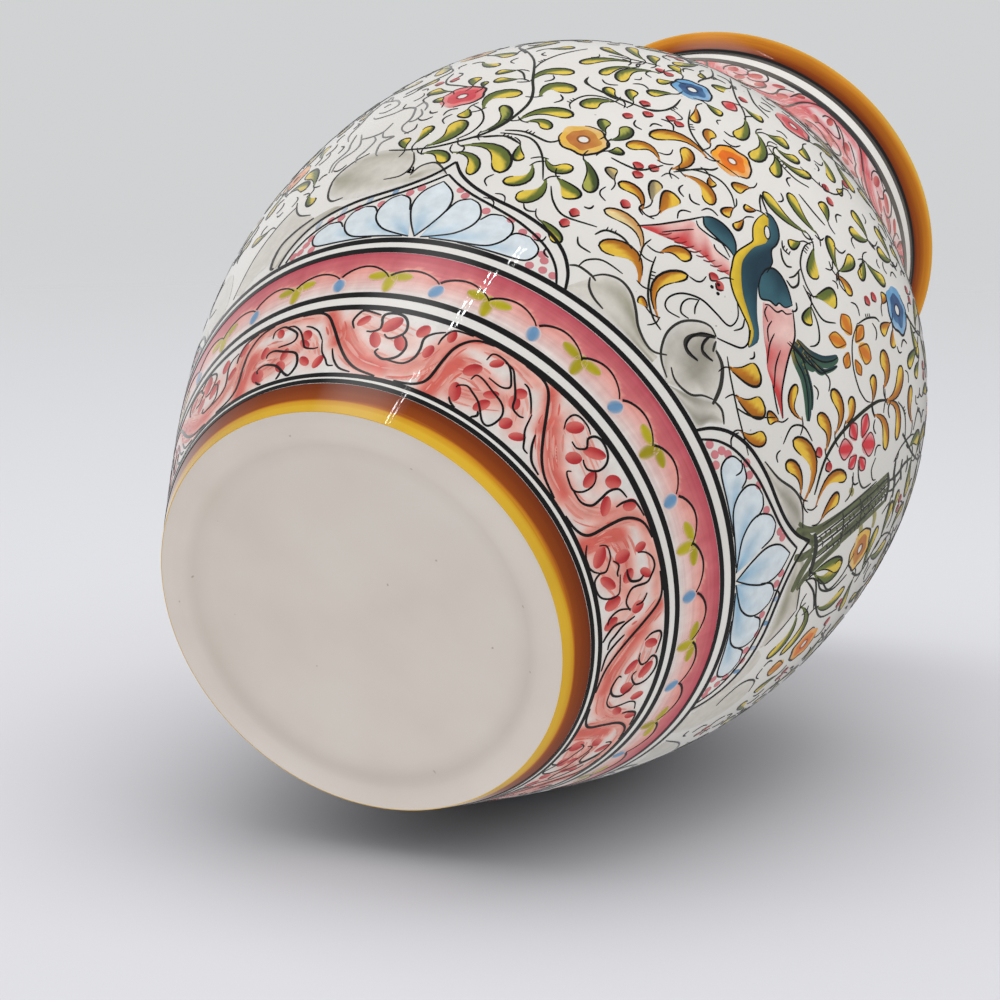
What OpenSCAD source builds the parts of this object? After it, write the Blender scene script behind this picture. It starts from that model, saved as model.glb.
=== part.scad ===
// Round-bellied earthenware vase with painted and glazed bands, standing upright.
// The origin is the centre of the foot on the surface the vase stands on, +Z is up, in millimetres.
// Every piece is a turned section, so one outline gives the clay sections, the coats and the seams.

/* [Outline] */
// Outer radius at the foot's edge
foot_r = 46; // [40:0.5:54]
// Outward lean of the wall where it leaves the foot, mm per mm of height
foot_lean = 0.47; // [0.3:0.01:0.6]
// Height of the flaring lower wall
flare_h = 74; // [64:0.5:86]
// Outer radius at the top of the flare
flare_r = 77.2; // [70:0.1:82]
// Outward lean of the wall at the top of the flare
flare_lean = 0.27; // [0.1:0.01:0.4]
// Height from the flare to the belly's widest point
belly_h = 41; // [32:0.5:52]
// Outer radius at the belly's widest point
belly_r = 82.4; // [76:0.1:94]
// Height from the belly's widest point to the turn of the shoulder
shoulder_h = 41; // [34:0.5:50]
// Outer radius at the turn of the shoulder
shoulder_r = 72.5; // [66:0.1:78]
// Inward lean of the wall at the turn of the shoulder
shoulder_lean = 0.62; // [0.4:0.01:0.8]
// Height from the turn of the shoulder to the throat
neck_h = 65; // [58:0.5:78]
// Outer radius of the throat
throat_r = 50.6; // [44:0.1:58]
// Inward lean of the wall as it reaches the throat
throat_lean = 0.1; // [0:0.01:0.2]
// Height of the lip's flare above the throat
lip_h = 5.7; // [4.5:0.1:8]
// How far the lip stands out past the throat
lip_out = 3.8; // [2:0.1:6]
// Outward lean of the wall at the lip's edge
lip_lean = 1; // [0.4:0.01:1.2]
// Thickness of the lip, measured level
lip_t = 6; // [4:0.1:8]
// Height of the lip's rounded crown
crown_h = 1.8; // [1.2:0.1:3]

/* [Clay sections] */
// Thickness of the clay wall, measured level
wall_t = 5; // [4:0.1:7]
// Thickness of the floor disc
floor_t = 6.5; // [5:0.1:9]
// Thickness of the floor disc's flange over its ledge in the foot ring
flange_t = 3; // [2:0.1:4]
// Depth of the recess under the floor
recess_h = 2.5; // [1.5:0.1:4]
// Run of the slope from the resting face into the recess
recess_run = 1.6; // [0.8:0.1:3]
// Width of the foot's resting face
foot_face_w = 4.4; // [3:0.1:6]
// Width of the eased edge around the resting face
foot_edge_w = 1.2; // [0.8:0.1:2]
// Height of the foot ring's wall above the floor
foot_rise = 6; // [4:0.5:10]
// Height of the tongue that locks each seam
tongue_h = 3; // [2:0.1:4]
// Height of the neck collar between its two seams
collar_h = 32; // [26:0.5:38]
// Height of the lip section below the lip's edge
lip_section_h = 12; // [9:0.5:16]

/* [Coats] */
// Thickness of the glaze coats
glaze_t = 0.5; // [0.3:0.05:0.8]
// Height of bare clay left between the resting face and the lowest coat
bare_h = 0.6; // [0.4:0.1:1.2]
// Height of the yellow coat at the foot
foot_yellow_h = 2.7; // [1.5:0.1:4]
// Height of the brown coat over it
foot_brown_h = 4.1; // [2.5:0.1:6]
// Width of the two fine black lines over the brown coat
fine_line_w = 0.9; // [0.6:0.1:1.2]
// Width of the white gap between the fine lines
fine_gap_w = 0.8; // [0.5:0.1:1.5]
// Height of the scroll band
scroll_h = 15.7; // [12:0.1:20]
// Width of the other black lines
line_w = 1.2; // [0.8:0.1:1.6]
// Width of the white gap between paired black lines
gap_w = 1.8; // [1.2:0.1:3]
// Height of the scalloped band
scallop_h = 10.6; // [8:0.1:14]
// Height of the scroll band around the neck
neck_band_h = 28; // [22:0.1:32]
// Height of the white collar band under the rim
collar_band_h = 9.1; // [7:0.1:11]
// Height of the brown coat under the rim
rim_brown_h = 3.5; // [2.5:0.1:5]
// Height of the yellow coat below the lip's edge
rim_yellow_h = 0.8; // [0.4:0.1:1.5]

/* [Hidden] */
$fn = 180;
// Longest step between two stations of the outline
step = 4;
// Number of steps around the lip's crown
crown_steps = 14;

clay = [0.86, 0.83, 0.79];
white = [0.93, 0.92, 0.90];
yellow = [0.91, 0.73, 0.22];
brown = [0.53, 0.21, 0.04];
black = [0.07, 0.07, 0.08];
red_wash = [0.95, 0.72, 0.68];
rose_wash = [0.92, 0.66, 0.68];

// Stations of the outline
flare_z = flare_h;
belly_z = flare_z + belly_h;
shoulder_z = belly_z + shoulder_h;
throat_z = shoulder_z + neck_h;
lip_z = throat_z + lip_h;
lip_r = throat_r + lip_out;
stations = [[0, foot_r, foot_lean], [flare_z, flare_r, flare_lean], [belly_z, belly_r, 0],
            [shoulder_z, shoulder_r, -shoulder_lean], [throat_z, throat_r, -throat_lean],
            [lip_z, lip_r, lip_lean]];

// Seams and floor
floor_z = recess_h + floor_t;
foot_seam = floor_z + foot_rise;
belly_seam = belly_z;
lip_seam = lip_z - lip_section_h;
neck_seam = lip_seam - collar_h;
face_out = foot_r - foot_edge_w;
face_in = face_out - foot_face_w;
floor_r = face_in - recess_run;

// Edges of the coats, counted up from the foot and down from the lip
up = [bare_h, foot_yellow_h, foot_brown_h, fine_line_w, fine_gap_w, fine_line_w, scroll_h,
      line_w, gap_w, line_w, scallop_h, line_w, gap_w, line_w];
down = [rim_yellow_h, rim_brown_h, line_w, collar_band_h, line_w, neck_band_h, line_w, gap_w, line_w];
function total(v, n) = n < 0 ? 0 : v[n] + total(v, n - 1);
low = [for (i = [0 : len(up) - 1]) total(up, i)];
high = [for (i = [0 : len(down) - 1]) lip_z - total(down, i)];

// Every height where a piece begins or ends, in order, with steps between
function in_order(v) = len(v) == 0 ? [] :
    let (p = v[floor(len(v) / 2)])
    concat(in_order([for (x = v) if (x < p - 0.001) x]), [p], in_order([for (x = v) if (x > p + 0.001) x]));
breaks = in_order(concat([for (s = stations) s[0]], low, high,
    [floor_z, floor_z + glaze_t],
    [for (z = [foot_seam, belly_seam, neck_seam, lip_seam]) each [z, z + tongue_h]]));
levels = concat([for (i = [0 : len(breaks) - 2])
    let (n = ceil((breaks[i + 1] - breaks[i]) / step))
    for (k = [0 : n - 1]) breaks[i] + (breaks[i + 1] - breaks[i]) * k / n], [lip_z]);
function span(a, b) = [for (z = levels) if (z > a - 0.002 && z < b + 0.002) z];
function turned(v) = [for (i = [len(v) - 1 : -1 : 0]) v[i]];

// A cubic stretch of the outline between two stations of height, radius and lean
function stretch(z, a, b) =
    let (h = b[0] - a[0], s = (z - a[0]) / h)
    a[1] + (b[1] - a[1]) * s * s * (3 - 2 * s) + h * s * (1 - s) * (a[2] * (1 - s) - b[2] * s);
// Outer radius of the glazed wall, and the radii of the clay and the lining inside it
function wall(z) =
    let (i = max([for (k = [0 : len(stations) - 2]) if (k == 0 || z > stations[k][0]) k]))
    stretch(z, stations[i], stations[i + 1]);
function clay_out(z) = wall(z) - glaze_t;
function clay_in(z) = z <= throat_z ? wall(z) - glaze_t - wall_t :
    stretch(z, [throat_z, throat_r - glaze_t - wall_t, -throat_lean],
        [lip_z, lip_r - lip_t + glaze_t, lip_lean]);
function lining(z) = clay_in(z) - glaze_t;
function seam_r(z) = (clay_out(z + tongue_h / 2) + clay_in(z + tongue_h / 2)) / 2;

function outer_side(a, b) = [for (z = span(a, b)) [wall(z), z]];
function clay_side(a, b) = [for (z = span(a, b)) [clay_out(z), z]];
function clay_inside(a, b) = [for (z = span(a, b)) [clay_in(z), z]];
function lining_side(a, b) = [for (z = span(a, b)) [lining(z), z]];
// The step of a seam, from the outside in
function seam_step(z) = [[seam_r(z), z], [seam_r(z), z + tongue_h]];
// The lip's rounded crown, set in by a margin, from the outside in
function crown(margin) = [for (i = [1 : crown_steps - 1])
    let (a = 180 * i / crown_steps)
    [lip_r - lip_t / 2 + (lip_t / 2 - margin) * cos(a), lip_z + (crown_h - margin) * sin(a)]];

// A wall section between two seams
module section(a, b) {
    rotate_extrude() polygon(concat(clay_side(a, b), seam_step(b),
        turned(clay_inside(a + tongue_h, b + tongue_h)), turned(seam_step(a))));
}

// A coat on the outside of the wall
module coat(a, b) {
    rotate_extrude() polygon(concat(outer_side(a, b), turned(clay_side(a, b))));
}

module foot_ring() {
    color(clay) rotate_extrude() polygon(concat(
        [[face_in, 0], [face_out, 0]], clay_side(bare_h, foot_seam), seam_step(foot_seam),
        turned(clay_inside(floor_z, foot_seam + tongue_h)),
        [[clay_in(floor_z), floor_z - flange_t], [floor_r, floor_z - flange_t], [floor_r, recess_h]]));
}

module floor_disc() {
    color(clay) rotate_extrude() polygon([[0, recess_h], [floor_r, recess_h],
        [floor_r, floor_z - flange_t], [clay_in(floor_z), floor_z - flange_t],
        [clay_in(floor_z), floor_z], [0, floor_z]]);
}

module lower_wall() { color(clay) section(foot_seam, belly_seam); }

module upper_wall() { color(clay) section(belly_seam, neck_seam); }

module neck_collar() { color(clay) section(neck_seam, lip_seam); }

module lip_ring() {
    color(clay) rotate_extrude() polygon(concat(clay_side(lip_seam, lip_z), crown(glaze_t),
        turned(clay_inside(lip_seam + tongue_h, lip_z)), turned(seam_step(lip_seam))));
}

module inside_glaze() {
    color(white) rotate_extrude() polygon(concat([[0, floor_z]], clay_inside(floor_z, lip_z),
        turned(lining_side(floor_z + glaze_t, lip_z)), [[0, floor_z + glaze_t]]));
}

module base_glaze() {
    color(clay) rotate_extrude() polygon([[0, recess_h - glaze_t],
        [floor_r + recess_run * glaze_t / recess_h, recess_h - glaze_t], [floor_r, recess_h], [0, recess_h]]);
}

module foot_yellow_glaze() { color(yellow) coat(low[0], low[1]); }

module foot_brown_glaze() { color(brown) coat(low[1], low[2]); }

module scroll_band_glaze() { color(red_wash) coat(low[5], low[6]); }

module scallop_band_glaze() { color(rose_wash) coat(low[9], low[10]); }

module body_glaze() { color(white) coat(low[13], high[8]); }

module neck_band_glaze() { color(red_wash) coat(high[5], high[4]); }

// White rings between the paired lines, and the white collar band
module white_rings() {
    color(white) {
        for (i = [3, 7, 11]) coat(low[i], low[i + 1]);
        for (i = [7, 3]) coat(high[i], high[i - 1]);
    }
}

// Painted lines, each a thin ring flush with the coats beside it
module black_lines() {
    color(black) {
        for (i = [2, 4, 6, 8, 10, 12]) coat(low[i], low[i + 1]);
        for (i = [8, 6, 4, 2]) coat(high[i], high[i - 1]);
    }
}

module rim_brown_glaze() { color(brown) coat(high[1], high[0]); }

module rim_yellow_glaze() {
    color(yellow) rotate_extrude() polygon(concat(outer_side(high[0], lip_z), crown(0),
        [[lip_r - lip_t, lip_z], [lip_r - lip_t + glaze_t, lip_z]],
        turned(crown(glaze_t)), turned(clay_side(high[0], lip_z))));
}

foot_ring();
floor_disc();
lower_wall();
upper_wall();
neck_collar();
lip_ring();
inside_glaze();
base_glaze();
foot_yellow_glaze();
foot_brown_glaze();
scroll_band_glaze();
scallop_band_glaze();
body_glaze();
neck_band_glaze();
white_rings();
black_lines();
rim_brown_glaze();
rim_yellow_glaze();
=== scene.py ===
# %% [markdown]
# # A painted earthenware vase, coat by coat
# The real vase is a round clay body under a white glaze, painted by hand with bands, vines, flowers
# and birds. This lesson turns the coats on a lathe, as a potter would, and then paints them stroke by
# stroke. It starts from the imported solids, so everything is already in metres and in its place.

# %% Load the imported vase
import bisect
import math
import random

import bmesh
import bpy
from mathutils import Matrix, Vector


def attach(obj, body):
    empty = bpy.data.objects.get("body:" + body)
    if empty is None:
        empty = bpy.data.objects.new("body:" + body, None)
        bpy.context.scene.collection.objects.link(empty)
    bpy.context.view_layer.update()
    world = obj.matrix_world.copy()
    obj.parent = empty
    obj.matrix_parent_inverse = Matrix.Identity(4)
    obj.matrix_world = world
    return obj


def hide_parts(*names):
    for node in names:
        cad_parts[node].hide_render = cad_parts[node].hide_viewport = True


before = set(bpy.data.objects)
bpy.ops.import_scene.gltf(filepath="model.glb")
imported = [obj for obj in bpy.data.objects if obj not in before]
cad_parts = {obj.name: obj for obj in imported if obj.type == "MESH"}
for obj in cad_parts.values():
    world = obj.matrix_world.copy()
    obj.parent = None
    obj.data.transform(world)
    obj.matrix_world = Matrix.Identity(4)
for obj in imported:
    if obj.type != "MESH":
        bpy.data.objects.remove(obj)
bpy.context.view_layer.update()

TAU = math.tau
MM = 0.001
scene = bpy.context.scene
scene.view_settings.view_transform = "Standard"

# %% [markdown]
# ## The outline
# Every coat follows one outline: a few stations of height, radius and lean, joined by cubic curves. The
# solids use the same stations, so a coat turned from them lies exactly where its solid lies. The outline
# could be read back from the solids' triangles, but the stations give a smooth curve at any height.

# %% Radius and lean of the wall at any height
STATIONS = [(0, 46, 0.47), (74, 77.2, 0.27), (115, 82.4, 0), (156, 72.5, -0.62), (221, 50.6, -0.1),
            (226.7, 54.4, 1)]
THROAT_Z, THROAT_R, THROAT_LEAN = STATIONS[-2]
LIP_Z, LIP_R, LIP_LEAN = STATIONS[-1]
GLAZE_T = 0.5
WALL_T = 5
LIP_T = 6
CROWN_H = 1.8


def stretch(z, low, high):
    rise = high[0] - low[0]
    s = (z - low[0]) / rise
    between = low[1] + (high[1] - low[1]) * s * s * (3 - 2 * s)
    return between + rise * s * (1 - s) * (low[2] * (1 - s) - high[2] * s)


def wall(z):
    k = 0
    while k < len(STATIONS) - 2 and z > STATIONS[k + 1][0]:
        k += 1
    return stretch(z, STATIONS[k], STATIONS[k + 1])


def lean(z):
    top = min(z + 0.1, LIP_Z)
    return (wall(top) - wall(z - 0.1)) / (top - z + 0.1)


print("belly", round(2 * wall(115), 1), "mm wide; throat", round(2 * wall(THROAT_Z), 1), "mm wide")

# %% [markdown]
# A painter measures along the wall, not straight up. So each height also gets its climb, the length of
# wall from the foot to there, and a point of the painting is a turn around the vase and a climb up it.

# %% Climb along the wall, and points on it
FINE = 0.25
heights = [FINE * i for i in range(int(LIP_Z / FINE) + 1)]
climbs = [0.0]
for low_z, high_z in zip(heights, heights[1:]):
    climbs.append(climbs[-1] + math.hypot(high_z - low_z, wall(high_z) - wall(low_z)))


def climb_at(z):
    i = min(max(int(z / FINE), 0), len(heights) - 2)
    return climbs[i] + (climbs[i + 1] - climbs[i]) * (z - heights[i]) / FINE


def height_at(climb):
    i = min(max(bisect.bisect_right(climbs, climb) - 1, 0), len(heights) - 2)
    return heights[i] + FINE * (climb - climbs[i]) / (climbs[i + 1] - climbs[i])


def girth(climb):
    return wall(height_at(climb))


def on_wall(turn, climb, lift):
    z = height_at(climb)
    slope = lean(z)
    side = lift / math.sqrt(1 + slope * slope)
    r = wall(z) + side
    return Vector((r * math.cos(turn), r * math.sin(turn), z - side * slope)) * MM


def facing(co):
    around = math.hypot(co.x, co.y)
    return Vector((co.x, co.y, -lean(co.z / MM) * around)).normalized()


print("climb from foot to lip:", round(climbs[-1], 1), "mm")

# %% [markdown]
# ## The camera
# The vase lies on its side in the photograph and shows its foot. Here it stands up, so the camera goes
# below the foot instead, turned to see the vase at the same slant. The place and the turn come from
# fitting the painted rings; a long lens keeps the foot from looking swollen.

# %% Camera
CAMERA_AT = Vector((0.40466, -0.04173, -0.49466))
CAMERA_RIGHT = Vector((0.63815, 0.65378, 0.40663))
CAMERA_UP = Vector((0.50152, -0.75371, 0.42474))
CAMERA_BACK = CAMERA_RIGHT.cross(CAMERA_UP)
SENSOR, LENS = 36, 111.37
camera = bpy.data.objects.new("camera", bpy.data.cameras.new("camera"))
camera.data.sensor_width, camera.data.lens = SENSOR, LENS
camera.matrix_world = Matrix((CAMERA_RIGHT, CAMERA_UP, CAMERA_BACK)).transposed().to_4x4()
camera.matrix_world.translation = CAMERA_AT
scene.collection.objects.link(camera)
scene.camera = camera
print("camera is", round(CAMERA_AT.length, 3), "m from the foot's centre")

# %% [markdown]
# ## Turning the coats
# A coat is a thin ring that follows the wall. A lathe makes such a shape from one closed outline, and the
# spin operator is Blender's lathe: it sweeps the outline once around the axis and merges the last ring
# into the first. Edges that turn sharply stay crisp, and the rest is shaded smooth.

# %% A lathe for closed outlines
TURN_STEPS = 192
CRISP = math.radians(40)
MERGE = 1e-6
pieces = []


def turned(outlines, closed=True, steps=TURN_STEPS):
    bm = bmesh.new()
    for outline in outlines:
        dots = [bm.verts.new((r * MM, 0, z * MM)) for r, z in outline]
        ends = dots[1:] + dots[:1] if closed else dots[1:]
        lines = [bm.edges.new(pair) for pair in zip(dots, ends)]
        bmesh.ops.spin(bm, geom=dots + lines, cent=(0, 0, 0), axis=(0, 0, 1), angle=TAU, steps=steps,
                       use_merge=True)
    bmesh.ops.remove_doubles(bm, verts=bm.verts[:], dist=MERGE)
    bmesh.ops.recalc_face_normals(bm, faces=bm.faces[:])
    for edge in bm.edges:
        edge.smooth = edge.calc_face_angle(0) < CRISP
    return bm


def hang(bm, name, slot, material, *nodes):
    mesh = bpy.data.meshes.new(name)
    for face in bm.faces:
        face.smooth = True
    bm.to_mesh(mesh)
    bm.free()
    mesh.materials.append(material)
    piece = bpy.data.objects.new(name, mesh)
    scene.collection.objects.link(piece)
    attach(piece, "root")
    pieces.append(piece)
    if nodes:
        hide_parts(*nodes)
    print(name, len(mesh.polygons), "faces")
    return piece


def coat(low_z, high_z, step=1.5):
    count = max(2, math.ceil((high_z - low_z) / step))
    rows = [low_z + (high_z - low_z) * i / count for i in range(count + 1)]
    outside = [(wall(z), z) for z in rows]
    inside = [(wall(z) - GLAZE_T, z) for z in (rows[-1], *rows[-5:0:-4], rows[0])]
    return outside + inside


# %% [markdown]
# ## Glaze finishes
# A fired glaze is glass over colour: the colour drifts a little where the brush or the melt was thicker,
# the gloss is even, and the skin has a very faint ripple. Each finish below starts from the same few
# nodes on Object coordinates. Noise squeezed along one axis gives brush streaks around or up the wall.

# %% Small tools for the finishes
GLAZE_RIPPLE, CREAM_RIPPLE, CLAY_RIPPLE = 0.00001, 0.00002, 0.00004
GLOSS, SATIN, MATT = 0.035, 0.42, 0.75
FOOT_R = STATIONS[0][1]


def pigment(red, green, blue):
    return tuple(c / 12.92 if c <= 0.04045 else ((c + 0.055) / 1.055) ** 2.4
                 for c in (red / 255, green / 255, blue / 255))


def new_finish(name, roughness, ripple=GLAZE_RIPPLE):
    material = bpy.data.materials.new(name)
    material.use_nodes = True
    tree = material.node_tree
    shader = tree.nodes["Principled BSDF"]
    shader.inputs["Roughness"].default_value = roughness
    where = tree.nodes.new("ShaderNodeTexCoord").outputs["Object"]
    bump = tree.nodes.new("ShaderNodeBump")
    bump.inputs["Distance"].default_value = ripple
    bump.inputs["Strength"].default_value = 1
    waves = sum_of(tree, cloud(tree, where, 420, detail=0), 0.5, cloud(tree, where, 90, detail=1))
    tree.links.new(waves, bump.inputs["Height"])
    tree.links.new(bump.outputs["Normal"], shader.inputs["Normal"])
    return material, tree, shader, where


def cloud(tree, where, scale, squeeze=(1, 1, 1), detail=3):
    mapping = tree.nodes.new("ShaderNodeMapping")
    mapping.inputs["Scale"].default_value = squeeze
    noise = tree.nodes.new("ShaderNodeTexNoise")
    noise.inputs["Scale"].default_value = scale
    noise.inputs["Detail"].default_value = detail
    tree.links.new(where, mapping.inputs["Vector"])
    tree.links.new(mapping.outputs["Vector"], noise.inputs["Vector"])
    return noise.outputs["Fac"]


def sum_of(tree, value, factor, plus):
    node = tree.nodes.new("ShaderNodeMath")
    node.operation = "MULTIPLY_ADD"
    tree.links.new(value, node.inputs[0])
    node.inputs[1].default_value = factor
    if isinstance(plus, (int, float)):
        node.inputs[2].default_value = plus
    else:
        tree.links.new(plus, node.inputs[2])
    return node.outputs[0]


def ramp(tree, value, *stops):
    node = tree.nodes.new("ShaderNodeValToRGB")
    bands = node.color_ramp.elements
    while len(bands) < len(stops):
        bands.new(1)
    for band, (place, colour) in zip(bands, stops):
        band.position = place
        band.color = (*colour, 1)
    tree.links.new(value, node.inputs["Fac"])
    return node.outputs["Color"]


def over(tree, below, above, amount, how="MIX"):
    node = tree.nodes.new("ShaderNodeMix")
    node.data_type = "RGBA"
    node.blend_type = how
    for value, socket in ((amount, node.inputs[0]), (below, node.inputs[6]), (above, node.inputs[7])):
        if isinstance(value, (int, float)):
            socket.default_value = value
        elif isinstance(value, tuple):
            socket.default_value = (*value, 1)
        else:
            tree.links.new(value, socket)
    return node.outputs[2]


def height_from(tree, where, low_z, high_z):
    split = tree.nodes.new("ShaderNodeSeparateXYZ")
    tree.links.new(where, split.inputs[0])
    return sum_of(tree, split.outputs["Z"], 1 / ((high_z - low_z) * MM), -low_z / (high_z - low_z))


def times(tree, below, above):
    return over(tree, below, above, 1.0, "MULTIPLY")


WHITE = pigment(238, 234, 229)
print("glaze white in linear light:", [round(c, 3) for c in WHITE])

# %% [markdown]
# White glaze covers most of the body. It is not pure white: it drifts between a warmer and a cooler tone
# and has a few pin-sized grey specks. The lining inside uses the same finish.

# %% White glaze and bare clay
white_glaze, tree, shader, where = new_finish("white_glaze", GLOSS)
drift = ramp(tree, cloud(tree, where, 24), (0.3, pigment(233, 229, 223)), (0.7, pigment(242, 238, 233)))
specks = ramp(tree, cloud(tree, where, 900, detail=0), (0.1, (0.6, 0.58, 0.55)), (0.13, (1, 1, 1)))
tree.links.new(times(tree, drift, specks), shader.inputs["Base Color"])

bare_clay, tree, shader, where = new_finish("bare_clay", MATT, CLAY_RIPPLE)
grain = ramp(tree, cloud(tree, where, 160), (0.3, pigment(214, 205, 194)), (0.7, pigment(226, 218, 208)))
tree.links.new(grain, shader.inputs["Base Color"])

for hidden in ("floor_disc", "lower_wall", "upper_wall", "neck_collar", "lip_ring"):
    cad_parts[hidden].data.materials.clear()
    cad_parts[hidden].data.materials.append(bare_clay)
print("clay sections keep their solids and get", bare_clay.name)

# %% [markdown]
# ## Foot and underside
# The vase stands on a flat ring, and inside it the underside steps up softly into a shallow recess. The
# glaze there is thin and satin, with brushed rings from the wheel and small dark specks. The solid has
# plain flat steps; turning the outline anew lets the steps melt into each other as glaze does.

# %% Underside
UNDERSIDE = [(0, 2.05), (14, 2.05), (28, 2.0), (34, 1.9), (36.6, 1.72), (38.2, 1.35), (39.3, 0.8),
             (40.2, 0.3), (41.2, 0.05), (42.3, 0), (43.8, 0), (44.7, 0.05), (45.4, 0.2), (45.9, 0.42),
             (46.2, 0.66)]
underside_back = [(45.4, 0.9), (41, 1.4), (38, 2.45), (0, 2.49)]

cream_glaze, tree, shader, where = new_finish("cream_glaze", SATIN, CREAM_RIPPLE)
rings = cloud(tree, where, 40, detail=4)
tone = ramp(tree, rings, (0.3, pigment(220, 209, 200)), (0.7, pigment(227, 218, 210)))
flat, span = (tree.nodes.new("ShaderNodeVectorMath") for k in range(2))
flat.operation, span.operation = "MULTIPLY", "LENGTH"
flat.inputs[1].default_value = (1 / (FOOT_R * MM), 1 / (FOOT_R * MM), 0)
tree.links.new(where, flat.inputs[0])
tree.links.new(flat.outputs["Vector"], span.inputs[0])
# Darker in the recess step, partly glaze pooled there and partly painted shade; lighter on the outer
# standing ring, partly thin glaze and partly a painted highlight.
pooled_glaze_and_shading = ramp(tree, span.outputs["Value"], (0.76, (1, 1, 1)), (0.84, (0.94, 0.935, 0.925)),
              (0.89, (1.01, 1.01, 1.01)), (0.95, (1.04, 1.04, 1.04)))
tone = times(tree, tone, pooled_glaze_and_shading)
specks = ramp(tree, cloud(tree, where, 520, detail=0), (0.1, (0.6, 0.52, 0.46)), (0.14, (1, 1, 1)))
tree.links.new(times(tree, tone, specks), shader.inputs["Base Color"])
hang(turned([UNDERSIDE + underside_back], closed=False), "foot_and_underside", "cream_glaze", cream_glaze,
     "foot_ring", "base_glaze")

# %% [markdown]
# ## Yellow and brown at foot and lip
# The banding brush is held still while the wheel turns, so the yellow and the brown run into each other
# with soft streaks around the vase. One finish does both: the height picks the colour, and noise squeezed
# flat shifts the height a little, so the edge between the two is ragged.

# %% Finish and coats of the foot bands
YELLOW = pigment(236, 188, 52)
YELLOW_DEEP = pigment(222, 160, 30)
AMBER = pigment(206, 122, 28)
BROWN = pigment(158, 74, 14)
BROWN_DEEP = pigment(120, 46, 8)
BARE_Z, YELLOW_Z, BROWN_Z = 0.6, 3.3, 7.4


def banded_finish(name, low_z, high_z, *stops):
    material, tree, shader, where = new_finish(name, GLOSS)
    level = height_from(tree, where, low_z, high_z)
    streaks = cloud(tree, where, 1, squeeze=(26, 26, 900), detail=4)
    level = sum_of(tree, streaks, 0.3, sum_of(tree, level, 1, -0.15))
    patches = cloud(tree, where, 30)
    colour = ramp(tree, level, *stops)
    thick = ramp(tree, patches, (0.3, (0.82, 0.78, 0.72)), (0.7, (1, 1, 1)))
    tree.links.new(times(tree, colour, thick), shader.inputs["Base Color"])
    return material


foot_bands = banded_finish("yellow_to_brown", BARE_Z, BROWN_Z, (0.2, YELLOW), (0.37, YELLOW_DEEP),
                           (0.43, AMBER), (0.5, BROWN), (1.0, BROWN_DEEP))
hang(turned([coat(BARE_Z, YELLOW_Z, 0.7)]), "foot_yellow_coat", "yellow_glaze", foot_bands,
     "foot_yellow_glaze")
hang(turned([coat(YELLOW_Z, BROWN_Z, 0.7)]), "foot_brown_coat", "brown_glaze", foot_bands,
     "foot_brown_glaze")

# %% Lip
RIM_BROWN_Z, RIM_YELLOW_Z = 222.4, 225.9
CROWN_STEPS = 16


def crown(margin):
    half = LIP_T / 2
    return [(LIP_R - half + (half - margin) * math.cos(a), LIP_Z + (CROWN_H - margin) * math.sin(a))
            for a in (math.pi * i / CROWN_STEPS for i in range(CROWN_STEPS + 1))]


lip_bands = banded_finish("brown_to_yellow", RIM_BROWN_Z, LIP_Z + CROWN_H, (0.02, BROWN_DEEP), (0.2, BROWN),
                          (0.45, AMBER), (0.6, pigment(240, 158, 46)), (0.76, pigment(255, 204, 84)))
hang(turned([coat(RIM_BROWN_Z, RIM_YELLOW_Z, 0.5)]), "rim_brown_coat", "brown_glaze", lip_bands,
     "rim_brown_glaze")
lip_side = [(wall(RIM_YELLOW_Z), RIM_YELLOW_Z), (wall(RIM_YELLOW_Z + 0.4), RIM_YELLOW_Z + 0.4)]
lip_back = list(reversed(crown(GLAZE_T))) + [(wall(RIM_YELLOW_Z) - GLAZE_T, RIM_YELLOW_Z)]
hang(turned([lip_side + crown(0) + lip_back]), "rim_yellow_coat", "yellow_glaze", lip_bands,
     "rim_yellow_glaze")

# %% [markdown]
# ## White field, rings and lining
# The body, the narrow rings between the painted lines and the lining are all white glaze. The rings run
# on under the lines, because the painter puts the lines over the white. They are turned in fine steps:
# the wall bends sharply under the lip, and a coarse ring would stand out through the line. The lining
# rounds into the floor.

# %% White coats
FIELD_LOW, FIELD_HIGH = 44.7, 178.7
SCROLL_LOW, SCROLL_HIGH = 10.0, 25.7
SCALLOP_LOW, SCALLOP_HIGH = 29.9, 40.5
NECK_LOW, NECK_HIGH = 182.9, 210.9
FLOOR_Z = 9
FIELD_STEP, RING_STEP = 2, 0.2
hang(turned([coat(FIELD_LOW, FIELD_HIGH, FIELD_STEP)]), "field_ground", "white_glaze", white_glaze,
     "body_glaze")
ring_spans = [(BROWN_Z, SCROLL_LOW), (SCROLL_HIGH, SCALLOP_LOW), (SCALLOP_HIGH, FIELD_LOW),
              (FIELD_HIGH, NECK_LOW), (NECK_HIGH, RIM_BROWN_Z)]
hang(turned([coat(*span, RING_STEP) for span in ring_spans]), "ring_grounds", "white_glaze", white_glaze,
     "white_rings")


def lining_radius(z):
    if z <= THROAT_Z:
        return wall(z) - WALL_T - 2 * GLAZE_T
    return stretch(z, (THROAT_Z, THROAT_R - WALL_T - GLAZE_T, THROAT_LEAN),
                   (LIP_Z, LIP_R - LIP_T + GLAZE_T, LIP_LEAN)) - GLAZE_T


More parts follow.
